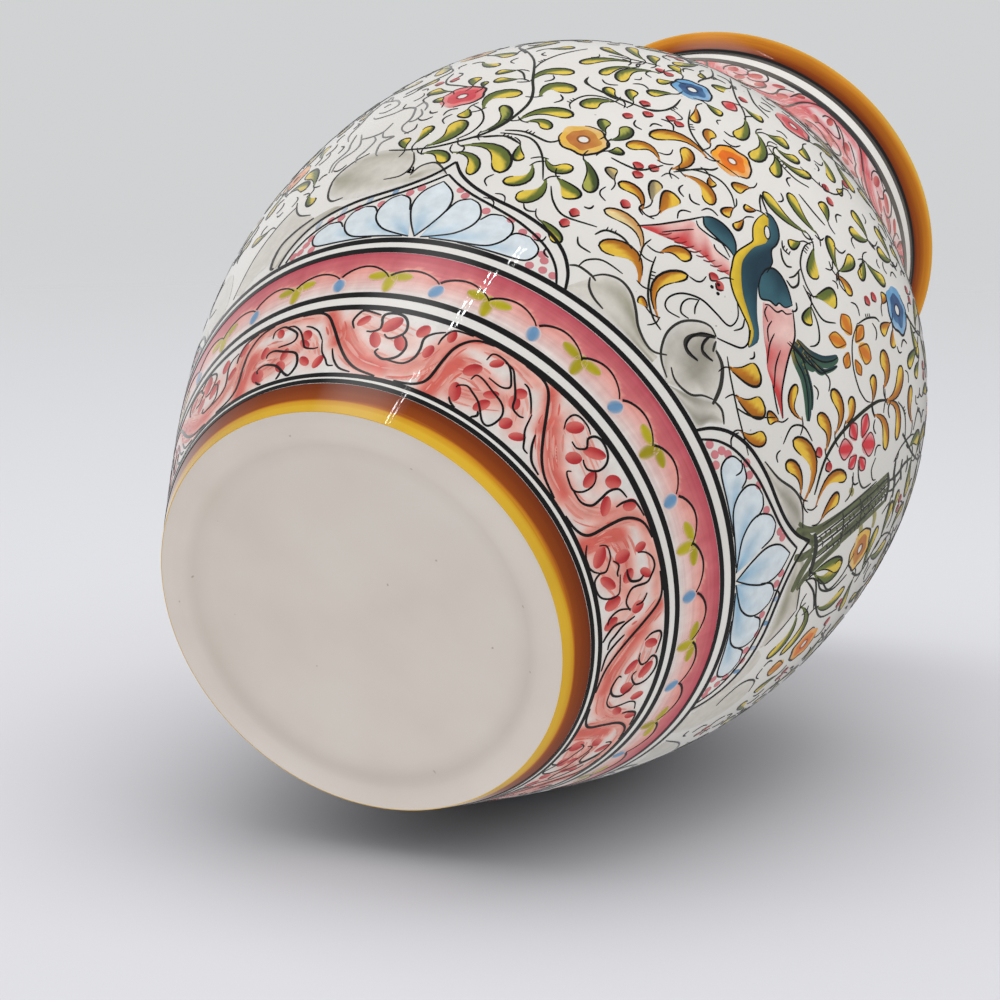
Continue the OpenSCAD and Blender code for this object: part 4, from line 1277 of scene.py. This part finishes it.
LEAVES = {("bird", "ochre"): [(-29, 8.3, -30.5, 17.5, -2.2, 3.4), (-26.2, 9, -17.6, 6.2, 2.6, 3.6),
                              (-21.8, 14, -19.6, 12, 0, 2.4), (-13.2, 11, -13.5, 6.8, 0, 2.6),
                              (-10.2, 10.5, -10.2, 6, 0, 2), (-13.8, 20.5, -16.2, 16, 0, 3.2),
                              (-9.5, 16, -12, 13.6, 0, 2), (-23.4, -5.4, -24, 2, 0.3, 4.6),
                              (-15.2, -24.5, -26.8, -22.8, -4, 4.6), (-17, -14.5, -11.6, -10.6, 1.6, 3.6),
                              (-6.8, -28, -9.4, -14.2, 4.4, 3), (-10, -28.2, -13, -27.6, 0, 2),
                              (10.5, -21.2, 16.4, -14.6, -0.8, 5.4), (16, -23.4, 22.4, -17.6, -1.2, 5),
                              (22.4, -26.5, 27.6, -20.6, -1.2, 3.4), (27.4, -15.4, 24.8, -18.2, 0, 3),
                              (31.2, -8.4, 24.2, -6.2, 3, 2.4)],
          ("bird", "dun"): [(-26.2, -4, -28.5, 2.4, 0.6, 3)],
          ("bird", "faded"): [(-19.5, -18, -32, -13.5, -3.2, 3.2)],
          ("bird", "green"): [(1.8, 24.6, -11.2, 23, 2.2, 3.4), (2, 20.5, 0.6, 16.2, 0, 2.6),
                              (5.2, 23, 10, 16.2, -0.6, 4), (13, 13, 17, 19.6, 0, 5),
                              (13.8, 10, 16, 5.6, 0, 3.4)],
          ("left", "green"): [(-33.6, 4.2, -28.2, 12, 4.2, 4.6), (-23.8, 12, -18, 17, 4, 5),
                              (-23.6, 0.6, -13.6, 6.6, 2.8, 4), (-21.8, 0.4, -16.2, -0.6, 2, 3),
                              (-8.6, 17.6, -12.4, 11.6, -1.6, 4.4), (-7, 19.4, -12, 23.4, 1.4, 2.8),
                              (-5, 20.6, -7, 25.6, 0.8, 2.8), (-31.5, -11, -18.6, -18.4, 4.2, 4.6),
                              (-32.4, -13.4, -24.4, -20.6, 2.8, 3), (-18.8, -7.8, -16.4, -13.2, -0.4, 2.6),
                              (-13.4, -13.2, -16.4, -20.6, 2.8, 3.2), (-8.6, -16.4, -11.6, -24.4, 2.2, 4),
                              (-11.8, -10.2, -5.6, -10, -2.6, 3.2), (-6.6, -15, -0.8, -19, 0.4, 4.6)],
          ("left", "bounce_glow_material"): [(-29.6, -5.8, -30, 6, -3.2, 2.8), (-4.6, 4.8, -6.6, 9.4, 0.8, 3),
                             (-3, 2.8, -2.2, 9.8, -1.6, 3.4), (-1.8, -1, 0.8, 1.4, -0.4, 2.6),
                             (-4.8, -6.4, 0.6, -15.4, 1.4, 3.4)],
          ("left", "ochre"): [(16.5, 14.4, 3.6, 10.4, -3.6, 3.8), (9, 4, 1.2, 3.2, -3, 3.2),
                              (12.6, -12.4, 5, -9, -2.4, 3)],
          ("left", "dun"): [(4, -8.6, 1.6, -5.4, 0, 2.8)],
          ("above", "green"): [(-43.5, -19, -36.4, -12, 3.4, 4.2), (-27.4, 2.2, -37.2, -5.4, -2, 3.4),
                               (-26, -0.4, -30.4, -9.4, -1.6, 2.8), (-20.5, 1.2, -25.4, -10.2, -3.6, 3.4),
                               (-7.2, -3.4, -2.6, -4.4, 0, 2.8), (-14, -6.6, -18.4, -11.4, 0, 3),
                               (-6.6, 11, -8.2, 6.6, 0, 3.4), (-0.4, 5.4, 4.6, 5.6, -0.6, 3),
                               (1.4, 0.6, 3, -9.6, 1.4, 3.4), (5.4, -1.8, 8.6, -13, 2.6, 3.6),
                               (11.2, -3.8, 14.8, -12, 1.2, 3.2), (7.4, 0.6, 12.4, 3.8, -0.4, 4),
                               (11, -1.8, 16.4, 1.6, -1.4, 2.8), (12.6, -4.4, 20.8, 0.4, -2, 2.6),
                               (15, 9, 17, 4.6, 0, 3.4), (19.6, 13, 25, 7, 0.8, 3.2),
                               (31, -15, 20.4, -12.6, 1.6, 3.4), (31, -8, 26.8, -4.6, 0, 3.4),
                               (-30, 5, -37.4, 9.4, 0.8, 2.4), (-26, 6, -32, 15, 1.2, 3),
                               (-23, 5.4, -25.4, 11.6, 0.6, 3), (-17, 20, -20.6, 10.6, 1, 2.8),
                               (-14.4, 12.4, -13, 9, 0, 2), (16, 16, 21, 21, 1, 3)],
          ("above", "gold"): [(-16.8, -0.6, -19.4, -3.8, 0, 2.6), (-16.6, 5.4, -20, 9.2, 0, 3.2),
                              (28, 9, 28, 5.6, 0, 2)],
          ("above", "ochre"): [(-8.2, -7.6, -6, -14, 0, 2.4), (0.6, -18.6, -1, -13.4, 1.2, 3.2)],
          ("right", "ochre"): [(0, 10.4, -7.2, 13.6, -2.4, 4.8), (2.8, 10.6, -0.4, 22.6, -2.4, 4),
                               (3.4, 10.6, 13.8, 13.6, 4, 3.4), (3.2, 3.2, 13.2, 6.8, 3, 3.6),
                               (0.4, 3.8, -4.8, 6.6, -0.8, 3.2), (0.2, -14, -8.8, -11, -3, 3.4),
                               (2.2, -18.6, -6, -18.2, -2.6, 3.4), (-0.4, -9.4, -4.6, -4.6, -1.6, 3),
                               (12.6, -24.6, 11.4, -12.2, 3.4, 3), (16.6, -23, 14.2, -15.4, 0.8, 3.4),
                               (9.6, -28.6, -4.6, -28, -5, 4), (7.6, -29.2, -1, -32, -2, 3),
                               (15, 25.4, 6.6, 27, 2.4, 3), (-10.4, 23.6, -10.6, 17.4, 0, 3),
                               (-9, 23.8, -5.4, 21, 0, 3), (-15.6, 22.8, -16.8, 26, 0, 2.8)],
          ("right", "green"): [(1, 37, 1.6, 27, 0, 3), (4, 36, 6, 31, 0, 2.8),
                               (29, -24, 33.6, -12, 1.4, 4)],
          ("far_right", "green"): [(-8, 1, -6.8, 12.6, -2.8, 4.2), (3, 6.4, 3, 18.6, -2.4, 3.2),
                                   (-0.6, -1.8, 13.4, -1.6, 5, 3.2), (1.2, -2.2, 11.6, -7.6, 3, 3.4)],
          ("far_left", "green"): [(-4.6, -15, -6.2, -10.6, 0, 3), (-3, -13.6, -1.8, -6.6, -0.4, 3),
                                  (0.4, -15, 4.6, -5, -2.6, 5), (0.4, -17.8, 7.2, -21.4, 2, 3.2),
                                  (8, 21.4, 3.2, 20.2, 0, 3), (10.6, 16, 5, 15.4, 0.6, 3),
                                  (0.6, 12.6, -0.6, 17.6, 0, 3.2), (-4.4, 10.8, -10.4, 13.4, 0.6, 3.6),
                                  (-3.6, 5, -5.8, 7.4, 0, 2.6), (-5.6, 35.6, 1.8, 32.4, 0, 4),
                                  (-4.6, 29.6, 1.6, 25.4, -1.2, 2.8), (-28.6, -18, -36, -8, -1.4, 3.6)],
          ("far_left", "gold"): [(4.6, 0.4, 4.6, -3.6, 0, 3.4), (-20, 40, -15, 27, 0.6, 4)],
          ("far_left", "bounce_glow_material"): [(3.8, 11.4, 3.2, 14.4, 0, 1.8)]}
leaves, leaf_lines, vines, fruit = fresh_layer(), fresh_layer(), fresh_layer(), fresh_layer()
hand = random.Random(71)


def leaf(place, root_u, root_v, tip_u, tip_v, bow, fat, kind):
    body, deep, head = LEAF_TINTS[kind]
    du, dv = tip_u - root_u, tip_v - root_v
    length, last = math.hypot(du, dv), len(LEAF_STEPS) - 1
    bow = bow or hand.choice((-0.35, 0.35))
    width = lambda t: 0.94 * fat * LEAF_WIDTHS[round(t * last)]
    path = []
    for t in LEAF_STEPS:
        push = 4 * bow * t * (1 - t) / length
        path.append(place(root_u + du * t - dv * push, root_v + dv * t + du * push))

    def tint(t, s):
        outer = s if bow > 0 else 1 - s
        yellow = 8 * (0.95 * LEAF_STEPS[round(t * last)] + 0.75 * (1 - outer) - 1.0)
        return mixed(mixed(body, deep, 1.1 * outer - 0.4), head, yellow)

    stroke(leaves, path, width, tint, FILL, across=5)
    left, right = edges_of(path, width)
    outer, inner = (left, right) if bow > 0 else (right, left)
    stroke(leaf_lines, outer[1:] + inner[-2:-6:-1], taper(hand.uniform(0.42, 0.66), 0.35), INK, LINE)
    if hand.random() < 0.75:
        stroke(leaf_lines, inner[1:8], taper(0.36, 0.3), INK, LINE)
    bend = math.copysign(0.5, bow)
    tail = [(root_u - (du * back + dv * bend * back ** 2) * TAIL_REACH / length,
             root_v - (dv * back - du * bend * back ** 2) * TAIL_REACH / length)
            for back in (-0.3, 0.3, 0.7, 1)]
    pen(leaf_lines, place, tail, 0.36)
    return path


def berry(place, u, v, size=2.3):
    aim = hand.uniform(0, math.pi)
    dab(fruit, place, u, v, size * 1.15, size, aim,
        lambda t, s: mixed(BERRY_PALE, BERRY_DARK, 1.5 * s - 0.1), FILL)
    under = [(u - size * 0.5, v - 0.3), (u + 0.1, v - size * 0.55), (u + size * 0.55, v)]
    pen(leaf_lines, place, under, 0.4)
    claim(place, (u, v, size * 0.55))


for half in HALVES:
    for (name, kind), shapes in LEAVES.items():
        for shape in shapes:
            for turn, climb in leaf(near(half, name), *shape, kind)[3::3]:
                claim(lambda u, v: (turn, climb), (0, 0, 1.6))
print(sum(len(shapes) for shapes in LEAVES.values()), "leaves placed by hand on each side")

# %% [markdown]
# Thin stems join the leaves, some with short ticks across them, and pairs of red berries hang on
# hair-thin stalks. The stems around the bird, the tree and the deer are drawn one by one.

# %% Stems and berries listed one by one
STEMS = {"bird": [[(-22, 18.4), (-22.6, 16.4), (-24.6, 14), (-28, 8)],
                  [(-28, 9), (-24.8, 13), (-20, 15.2), (-16, 14), (-13.4, 11.4)],
                  [(4.2, 24.4), (3.4, 21), (4.2, 17.6), (6, 14.6), (9.6, 12.6), (13, 12.4)],
                  [(6.2, 14), (6.4, 11), (5.8, 9)], [(6.4, 13), (8.2, 10.4), (7.8, 8), (5.8, 7.8)],
                  [(-1, 15.2), (0.4, 13.6), (2.4, 14)], [(0, 13), (1.8, 11.2), (3.6, 10.8), (4.6, 12)],
                  [(9.2, 11.6), (14, 10.8), (18, 11.4), (20.6, 15)],
                  [(13.4, 10), (17.6, 9), (20.4, 7), (20.8, 5), (20, 3)],
                  [(-20.4, -13), (-20.4, -16), (-18.6, -20)],
                  [(-17, -16), (-15.4, -20), (-12, -25.4), (-8, -28.6), (-5, -29.4)],
                  [(-29.4, -20.6), (-28.4, -18), (-25, -17.2), (-21.6, -18.4)],
                  [(-31.6, -23.4), (-30, -25.2), (-27, -25.4)],
                  [(-26.6, -30), (-26.4, -27.6), (-24, -25.4), (-19, -25.2)],
                  [(8.6, -20), (13, -22.6), (20, -25.4), (28, -27)], [(18, -25), (22, -22), (26, -16)]],
         "left": [[(-24.5, -3.8), (-20, -3.2), (-14, -4.8), (-11.8, -3)],
                  [(-25, -5), (-18, -5), (-13, -9.5), (-9, -17)], [(-30, -7.8), (-24, -6), (-19.5, -7.6)],
                  [(-18.2, 26), (-17.6, 22.6), (-12, 20.4), (-2, 19.8), (1, 21.5), (2.8, 26)],
                  [(-15.3, 9.5), (-16.4, 12), (-15, 16.5), (-11, 18.2), (-5, 17.2)],
                  [(0, -2.5), (3.5, -2.6), (7, -1.6), (10, 3.5)],
                  [(-6.6, -18), (-4, -22), (0, -24.5), (7, -23)]],
         "above": [[(-14, 22), (-11.6, 14), (-12.5, 7), (-12.4, 5)],
                   [(-9, 22), (-6.8, 15), (-3.6, 8), (0, 3.5), (2, 0)], [(-4, 20), (0, 12), (5, 9.2)],
                   [(-34, 3.4), (-27, 4.4), (-22, 5.4)],
                   [(-32.6, -12.4), (-31.6, -15.4), (-28, -17.6), (-21, -18.6), (-14.6, -18)],
                   [(-12, -7.6), (-11.8, -12), (-13, -16), (-16, -18.4)],
                   [(-8.6, -10), (-6.4, -16), (-3, -20), (2, -22.4), (10, -22)],
                   [(18, -0.4), (24, 0.4), (27.6, 3), (28.6, 8), (27, 12)],
                   [(10, -4), (14, -6), (19, -6.4), (22.6, -4.4)], [(0.4, -10.4), (2, -10.6), (3, -9.8)],
                   [(22, -10), (27, -10.4), (31, -10)]],
         "right": [[(-16.8, 8.5), (-14.5, 3.5), (-10, 0.2), (-5, -0.4), (-1.5, 1), (0, 3)],
                   [(-16.6, 8.6), (-16, 13), (-14.5, 17), (-13, 18.2)],
                   [(6, 17), (9, 19.6), (12, 20.4), (17, 19.4)],
                   [(-2, -22), (-6, -23.4), (-7.6, -27), (-5.4, -31)],
                   [(17, 26), (14, 30), (16, 33), (18.6, 34)],
                   [(33, -6), (37, -10), (38, -15), (34, -19), (31, -22)],
                   [(30, -26), (35, -22), (41, -19.4)]],
         "far_right": [[(-7.6, -2.6), (-6, 2), (2, 5.4), (8, 11), (10, 20)],
                       [(-1, 17.4), (0.4, 11.6), (-2, 5.6), (-6, 3)]],
         "far_left": [[(11.6, 22), (11.4, 27), (13, 33), (17, 40)],
                      [(5.4, 1.8), (8.4, -0.6), (10.4, -5), (9.6, -9.6), (7, -12.6)],
                      [(13, -11.4), (18, -10), (22, -12)], [(7.6, 21.4), (10, 19.4), (12.2, 15.4)],
                      [(-9.8, 24), (-9.6, 20), (-7.6, 16), (-3, 13.4), (0, 12)]]}
BOLD_STEMS = {"right": [[(9.5, -24.5), (4, -19.5), (1, -12), (0.4, -2), (1.2, 6), (3, 11)]],
              "far_left": [[(-9, -14.4), (-4, -15.6), (2, -15.6), (7, -13.8), (12, -10.6), (15.4, -6),
                            (17.2, 0), (17.6, 5), (16.4, 10), (14, 15.6), (11.6, 22), (9, 28), (5, 34),
                            (1, 39)]]}
BERRIES = {"left": [(-3, 22), (-0.5, 18), (-3.7, 14.2), (5.8, -0.7), (8.8, 1.1), (7, -3.4), (8.9, -13.2),
                    (1.2, -22.4), (0.8, -26.2)],
           "above": [(27.8, 13), (25.4, 1.8), (28.2, -1), (-2.2, 9.5), (-17, -16.4), (-14.8, -20)],
           "right": [(-18.2, 20.4), (-18.8, 16.8), (5.8, -18.2), (1.3, -20.6)],
           "far_right": [(8.2, 19.6), (12.4, 17.2)], "far_left": [(-10.6, 18), (-6.8, 18.4)]}


def ticks(place, u, v, heading):
    for k in range(3):
        a, b = u + math.cos(heading) * k * 0.9, v + math.sin(heading) * k * 0.9
        pen(vines, place, [(a, b), (a - math.sin(heading) * 1.1, b + math.cos(heading) * 1.1)], 0.3)


for half in HALVES:
    for stems, width in ((STEMS, 0.5), (BOLD_STEMS, 0.85)):
        for name, lines in stems.items():
            for points in lines:
                pen(vines, near(half, name), points, width * hand.uniform(0.85, 1.2),
                    mixed(INK, GREEN_DEEP, 0.1))
                claim(near(half, name), *[(u, v, 0.5) for u, v in curve(points, 4 * len(points))])
                (a, b), (c, d) = points[1], points[2 if len(points) > 2 else 1]
                if hand.random() < 0.5:
                    ticks(near(half, name), a, b, math.atan2(d - b, c - a))
    for name, places in BERRIES.items():
        for u, v in places:
            berry(near(half, name), u, v)

# %% [markdown]
# The shoulder and the sides aren't read so closely, so vines there are given by degrees around and
# height, and a walk along each tries a leaf every few millimetres, left and right in turn, where the
# place is free.

# %% Vines with their leaves
VINES = [[(64, 90), (66, 96), (62, 104), (65, 114), (72, 122)], [(76, 88), (82, 98), (88, 108)],
         [(-74, 112), (-80, 104), (-86, 92), (-82, 76)], [(72, 122), (64, 132), (66, 144), (74, 150)],
         [(-74, 112), (-70, 124), (-74, 138), (-68, 150)], [(-49, 122), (-53, 131), (-52, 142), (-44, 150)],
         [(30, 128), (36, 136), (34, 146), (42, 150)], [(-24, 140), (-30, 146), (-22, 152)],
         [(2, 140), (8, 146), (4, 152)], [(46, 112), (52, 120), (56, 130), (52, 136)],
         [(-66, 106), (-60, 114), (-64, 122)]]
VINES += [[(d, 148), (d + 9, 157), (d + 3, 165), (d + 10, 172), (d + 8, 176)] for d in range(-84, 90, 21)]
MARGIN = 1.5


def try_leaf(place, heading, length, bow, kind, fat):
    du, dv = length * math.cos(heading), length * math.sin(heading)
    for t in (0.4, 0.7, 0.95):
        turn, climb = place(du * t, dv * t)
        inside = FIELD_LOW + MARGIN < height_at(climb) < FIELD_HIGH - MARGIN
        if not (inside and is_free(turn, climb, MARGIN)):
            return False
    for turn, climb in leaf(place, 0, 0, du, dv, bow, fat, kind)[3::2]:
        claim(lambda u, v: (turn, climb), (0, 0, 1.4))
    return True


def grow(points, half):
    path = curve([(math.radians(half + d), climb_at(z)) for d, z in points], 12 * (len(points) - 1))
    stroke(vines, path, swell(0.62, 1.1, 0.6), mixed(INK, GREEN_DEEP, 0.1), LINE)
    walked, due, side, count = 0, 3.0, 1, 0
    for (turn_a, climb_a), (turn_b, climb_b) in zip(path, path[1:]):
        across, up = (turn_b - turn_a) * girth(climb_b), climb_b - climb_a
        walked += math.hypot(across, up)
        claim(lambda u, v: (turn_b, climb_b), (0, 0, 0.4))
        if walked < due:
            continue
        due, side = walked + hand.uniform(3.4, 4.6), -side
        for lean_out in (0.95, 0.6, 1.3):
            heading = math.atan2(up, across) + side * (lean_out + hand.uniform(-0.12, 0.12))
            length, bow, fat = hand.uniform(7.6, 11), side * hand.uniform(0.8, 2), hand.uniform(3, 3.8)
            if try_leaf(around_point(turn_b, climb_b), heading, length, bow, "green", fat):
                count += 1
                break
    return count


grown = [grow(points, half) for half in HALVES for points in VINES]
print(len(grown), "vines with", sum(grown), "leaves")

# %% [markdown]
# The painter fills what is left with loose leaves, berries on hair-thin stems and small tick marks.
# Seeded random places are tried many times, large marks first, until nothing more fits.

# %% Filling the gaps
TRIES = 5200
SPRIG_SHARE, BERRY_SHARE = 0.25, 0.2
SPRIG_ROOM, LEAF_ROOM, CURL_ROOM = 4.6, 2.5, 1.5
EDGE = 3
FIELD_CLIMBS = climb_at(FIELD_LOW + EDGE), climb_at(FIELD_HIGH - EDGE)
placed = {"sprig": 0, "leaf": 0, "berries": 0, "curls": 0}


def tone_near(turn, climb):
    degrees = (math.degrees(turn) - PHOTO_SIDE + 90) % 180 - 90
    warm = -17 < degrees < 46 and height_at(climb) < 104
    return "ochre" if warm != (hand.random() < 0.06) else "green"


for attempt in range(TRIES):
    turn, climb = hand.uniform(0, TAU), hand.uniform(*FIELD_CLIMBS)
    heading, kind = hand.uniform(0, TAU), tone_near(turn, climb)
    place, room = around_point(turn, climb), SPRIG_ROOM if attempt < TRIES * SPRIG_SHARE else LEAF_ROOM
    if not is_free(turn, climb, room):
        continue
    if room == SPRIG_ROOM:
        done = [try_leaf(place, heading + tilt, hand.uniform(6.5, 9), bow, kind, 3.2)
                for tilt, bow in ((0, 1), (0.9, 0.8), (-0.9, -0.8))]
        if any(done):
            back = heading + math.pi
            stem = [(0, 0), (3 * math.cos(back), 3 * math.sin(back) - 0.4),
                    (5.4 * math.cos(back + 0.4), 5.4 * math.sin(back + 0.4))]
            pen(vines, place, stem, 0.36)
        placed["sprig"] += any(done)
    elif hand.random() < BERRY_SHARE:
        berry(place, -1.1, 0.2, 2.2)
        berry(place, 1.2, -0.3, 2.2)
        pen(vines, place, [(0, 0.6), (0.8, 2.6), (2.6 * math.cos(heading), 4)], 0.34)
        placed["berries"] += 1
    else:
        length, bow = hand.uniform(5, 7.5), hand.choice((-0.9, 0.9))
        placed["leaf"] += try_leaf(place, heading, length, bow, kind, 2.8)
for attempt in range(TRIES):
    turn, climb = hand.uniform(0, TAU), hand.uniform(*FIELD_CLIMBS)
    heading, bend, size = hand.uniform(0, TAU), hand.choice((-1, 1)), hand.uniform(2.2, 4.4)
    place = around_point(turn, climb)
    if is_free(turn, climb, CURL_ROOM):
        hook = [(size * (k / 3 - 0.5), bend * size * 0.3 * (1 - (k / 1.5 - 1) ** 2)) for k in range(4)]
        cosine, sine = math.cos(heading), math.sin(heading)
        hook = [(u * cosine - v * sine, u * sine + v * cosine) for u, v in hook]
        pen(vines, place, hook, hand.uniform(0.34, 0.5))
        claim(place, *[(u, v, 0.9) for u, v in hook])
        placed["curls"] += 1
print(placed)
fire(leaves, "leaves", "white_glaze")
fire(leaf_lines, "leaf_lines", "black_glaze")
fire(vines, "vine_lines", "black_glaze")
fire(fruit, "berries", "red_wash_glaze")

# %% [markdown]
# ## Floor and light
# The photograph's floor is the plane that the vase's side touches, with the foot's edge close over it,
# so here it is a pale sheet beside the standing vase, leaned to the same slant. It shows only its front
# and fades out into the pale background. A second sheet lies under the foot for the other views and
# shows only from above. Neither shades the vase: the light stays even all round.

# %% Floor and shelf
FLOOR_UP = Vector((0.6059, -0.7522, 0.2588))
FLOOR_AT = -0.0557
SHELF_AT = -0.0004
SHEET_SIZE = 2.5
PAPER_ROUGH, PAPER_SHINE = 0.9, 0.1


def sheet(name, up, distance, tone, near, far):
    material = bpy.data.materials.new(name)
    material.use_nodes = True
    nodes, links = material.node_tree.nodes, material.node_tree.links
    shader = nodes["Principled BSDF"]
    shader.inputs["Base Color"].default_value = (*tone, 1)
    shader.inputs["Roughness"].default_value = PAPER_ROUGH
    shader.inputs["Specular IOR Level"].default_value = PAPER_SHINE
    clear, mix, side, span = (nodes.new("ShaderNode" + kind)
                              for kind in ("BsdfTransparent", "MixShader", "NewGeometry", "VectorMath"))
    span.operation = "LENGTH"
    links.new(side.outputs["Position"], span.inputs[0])
    away = ramp(material.node_tree, sum_of(material.node_tree, span.outputs["Value"], 1 / far, 0),
                (near / far, (0, 0, 0)), (1, (1, 1, 1)))
    links.new(over(material.node_tree, away, (1, 1, 1), side.outputs["Backfacing"]), mix.inputs[0])
    links.new(shader.outputs[0], mix.inputs[1])
    links.new(clear.outputs[0], mix.inputs[2])
    links.new(mix.outputs[0], nodes["Material Output"].inputs["Surface"])
    bm = bmesh.new()
    turn = up.to_track_quat("Z", "Y").to_matrix().to_4x4()
    bmesh.ops.create_grid(bm, x_segments=1, y_segments=1, size=SHEET_SIZE,
                          matrix=Matrix.Translation(up * distance) @ turn)
    mesh = bpy.data.meshes.new(name)
    bm.to_mesh(mesh)
    bm.free()
    mesh.materials.append(material)
    piece = bpy.data.objects.new(name, mesh)
    scene.collection.objects.link(piece)
    piece.visible_diffuse = piece.visible_shadow = piece.visible_transmission = piece.visible_glossy = False


sheet("floor", FLOOR_UP, FLOOR_AT, pigment(221, 221, 225), 0.3, 1.3)
sheet("shelf", Vector((0, 0, 1)), SHELF_AT, pigment(226, 226, 230), 0.4, 1.6)
print("the photograph's floor passes", round(-FLOOR_AT / MM, 1), "mm from the foot's centre")

# %% [markdown]
# In the photograph the floor under the belly is dark, because no light reaches it and the belly above
# it is in its own shade. Here light also comes through the sheet from behind, so the belly is bright
# and would light the floor. So bounced light passes through the coats and meets a core just under their
# surface instead, which is dark where it faces the floor. The lip's coats stay out of mirrored light
# too, so the neck below them mirrors pale cloth.

# %% Core for the shadow
CORE_T = 0.2
CORE_STEPS = 96
CORE_FOOT = [(0, 2.3), (38, 2.4), (45.4, 1.2)]
BOUNCE_GLOW_TINT = (1, 0.88, 0.86, 1)


def towards(tree, where, direction):
    aim = tree.nodes.new("ShaderNodeVectorMath")
    aim.operation = "DOT_PRODUCT"
    aim.inputs[1].default_value = direction
    tree.links.new(where, aim.inputs[0])
    return sum_of(tree, aim.outputs["Value"], 0.5, 0.5)


def greys(*stops):
    return [(place, (level, level, level)) for place, level in stops]


core_mesh = bpy.data.meshes.new("core")
core_side = [(wall(z) - CORE_T, z) for z in range(3, 223, 3)]
bm = turned([CORE_FOOT + core_side], closed=False, steps=CORE_STEPS)
bm.to_mesh(core_mesh)
bm.free()
# The core glows though it is no lamp: its emission is painted bounce light from the belly, warm for the red
# bands, and it fades to painted shade where it faces the floor.
bounce_glow_material = bpy.data.materials.new("core")
bounce_glow_material.use_nodes = True
bounce_glow = bounce_glow_material.node_tree.nodes.new("ShaderNodeEmission")
bounce_glow.inputs["Color"].default_value = BOUNCE_GLOW_TINT
side = bounce_glow_material.node_tree.nodes.new("ShaderNodeNewGeometry").outputs["Normal"]
shade = ramp(bounce_glow_material.node_tree, towards(bounce_glow_material.node_tree, side, FLOOR_UP),
             *greys((0, 0), (0.1, 0.03), (0.25, 0.3), (0.4, 0.65), (0.5, 0.75)))
bounce_glow_material.node_tree.links.new(shade, bounce_glow.inputs["Strength"])
bounce_glow_material.node_tree.links.new(bounce_glow.outputs[0], bounce_glow_material.node_tree.nodes["Material Output"].inputs["Surface"])
core_mesh.materials.append(bounce_glow_material)
core = bpy.data.objects.new("core", core_mesh)
scene.collection.objects.link(core)
core.visible_camera = core.visible_glossy = core.visible_shadow = core.visible_transmission = False
for piece in pieces:
    piece.visible_diffuse = piece.name == "lining"
    piece.visible_glossy = not piece.name.startswith("rim")
print(len(pieces), "pieces; the core is", CORE_T, "mm under the glaze")

# %% [markdown]
# The light is a white tent: even light all round, a little more from above. The glaze mirrors its dim
# cloth, the paler cloth on one side, a soft strip above and a bar of small bright lamps, which shows as
# rows of white dashes.

# %% Light
world = bpy.data.worlds.new("light_tent")
world.use_nodes = True
scene.world = world
tree = world.node_tree
sky = tree.nodes["Background"]
where = tree.nodes.new("ShaderNodeTexCoord").outputs["Generated"]
ACROSS = FLOOR_UP.cross(Vector((0, 0, 1)))
TENT_SIDE = Vector((-0.693, -0.297, 0.642))
STRIP = Vector((0.342, -0.939, 0.025))
BACKDROP = (0.65, 0.65, 0.65)
DAYLIGHT = (0.98, 0.99, 1, 1)
glow = ramp(tree, towards(tree, where, FLOOR_UP),
            *greys((0, 0.7), (0.49, 0.75), (0.53, 0.86), (0.72, 0.77), (0.86, 0.77), (1, 0.86)))
cloth = ramp(tree, towards(tree, where, TENT_SIDE), *greys((0, 0.24), (0.86, 0.24), (0.95, 0.5), (1, 0.85)))
strip = ramp(tree, towards(tree, where, STRIP), *greys((0.966, 0), (0.982, 0.9), (0.994, 1.7)))
behind = ramp(tree, towards(tree, where, Vector((0, 0, 1))),
              *greys((0, 0.3), (0.12, 0.42), (0.25, 0.85), (0.5, 1.08), (1, 1.08)))
ray = tree.nodes.new("ShaderNodeLightPath").outputs
mirrored = over(tree, times(tree, glow, behind), over(tree, cloth, strip, 1.0, "ADD"), ray["Is Glossy Ray"])
tree.links.new(over(tree, mirrored, BACKDROP, ray["Is Camera Ray"]), sky.inputs["Strength"])
sky.inputs["Color"].default_value = DAYLIGHT


def lamp(name, place, target, wide, tall, watts):
    light = bpy.data.lights.new(name, "AREA")
    light.shape = "RECTANGLE"
    light.size, light.size_y = wide, tall
    light.energy = watts
    thing = bpy.data.objects.new(name, light)
    thing.location = place
    thing.rotation_euler = (Vector(target) - Vector(place)).to_track_quat("-Z", "Y").to_euler()
    scene.collection.objects.link(thing)
    return thing


TENT = [("tent_top", FLOOR_UP * 0.95 + Vector((0, 0, 0.2)), 0.08, 1.0, 0.5, 2.5),
        ("tent_front", Vector((-0.3, 0.3, -1.0)), 0, 0.8, 0.8, 5.2),
        ("tent_right", FLOOR_UP * 0.8 - ACROSS * 0.8, 0.1, 1.2, 1.2, 1.2),
        ("tent_left", FLOOR_UP * 0.8 + ACROSS * 0.8 + Vector((0, 0, 0.1)), 0.1, 1.2, 1.2, 1.5)]
for name, place, target_z, wide, tall, watts in TENT:
    lamp(name, place, (0, 0, target_z), wide, tall, watts).visible_glossy = False
BAR = [((0.65, -0.665, 0.279), 0.01), ((0.62, -0.7045, 0.226), 0.01), ((0.602, -0.727, 0.184), 0.01),
       ((0.567, -0.749, 0.117), 0.003)]
BULBS, BULB, BULB_GAP, ROW_GAP = 6, 0.004, 0.024, 0.014
for k, (middle, watts) in enumerate(BAR):
    for n in range(BULBS):
        place = Vector(middle) + ACROSS * BULB_GAP * (n % 2 - 0.5) + Vector((0, 0, ROW_GAP * (n // 2 - 1)))
        lamp("bar_" + str(BULBS * k + n), place, (0, 0, 0.05), BULB, BULB, watts).visible_diffuse = False
print("light comes from all sides, a little more from above the photograph's floor")
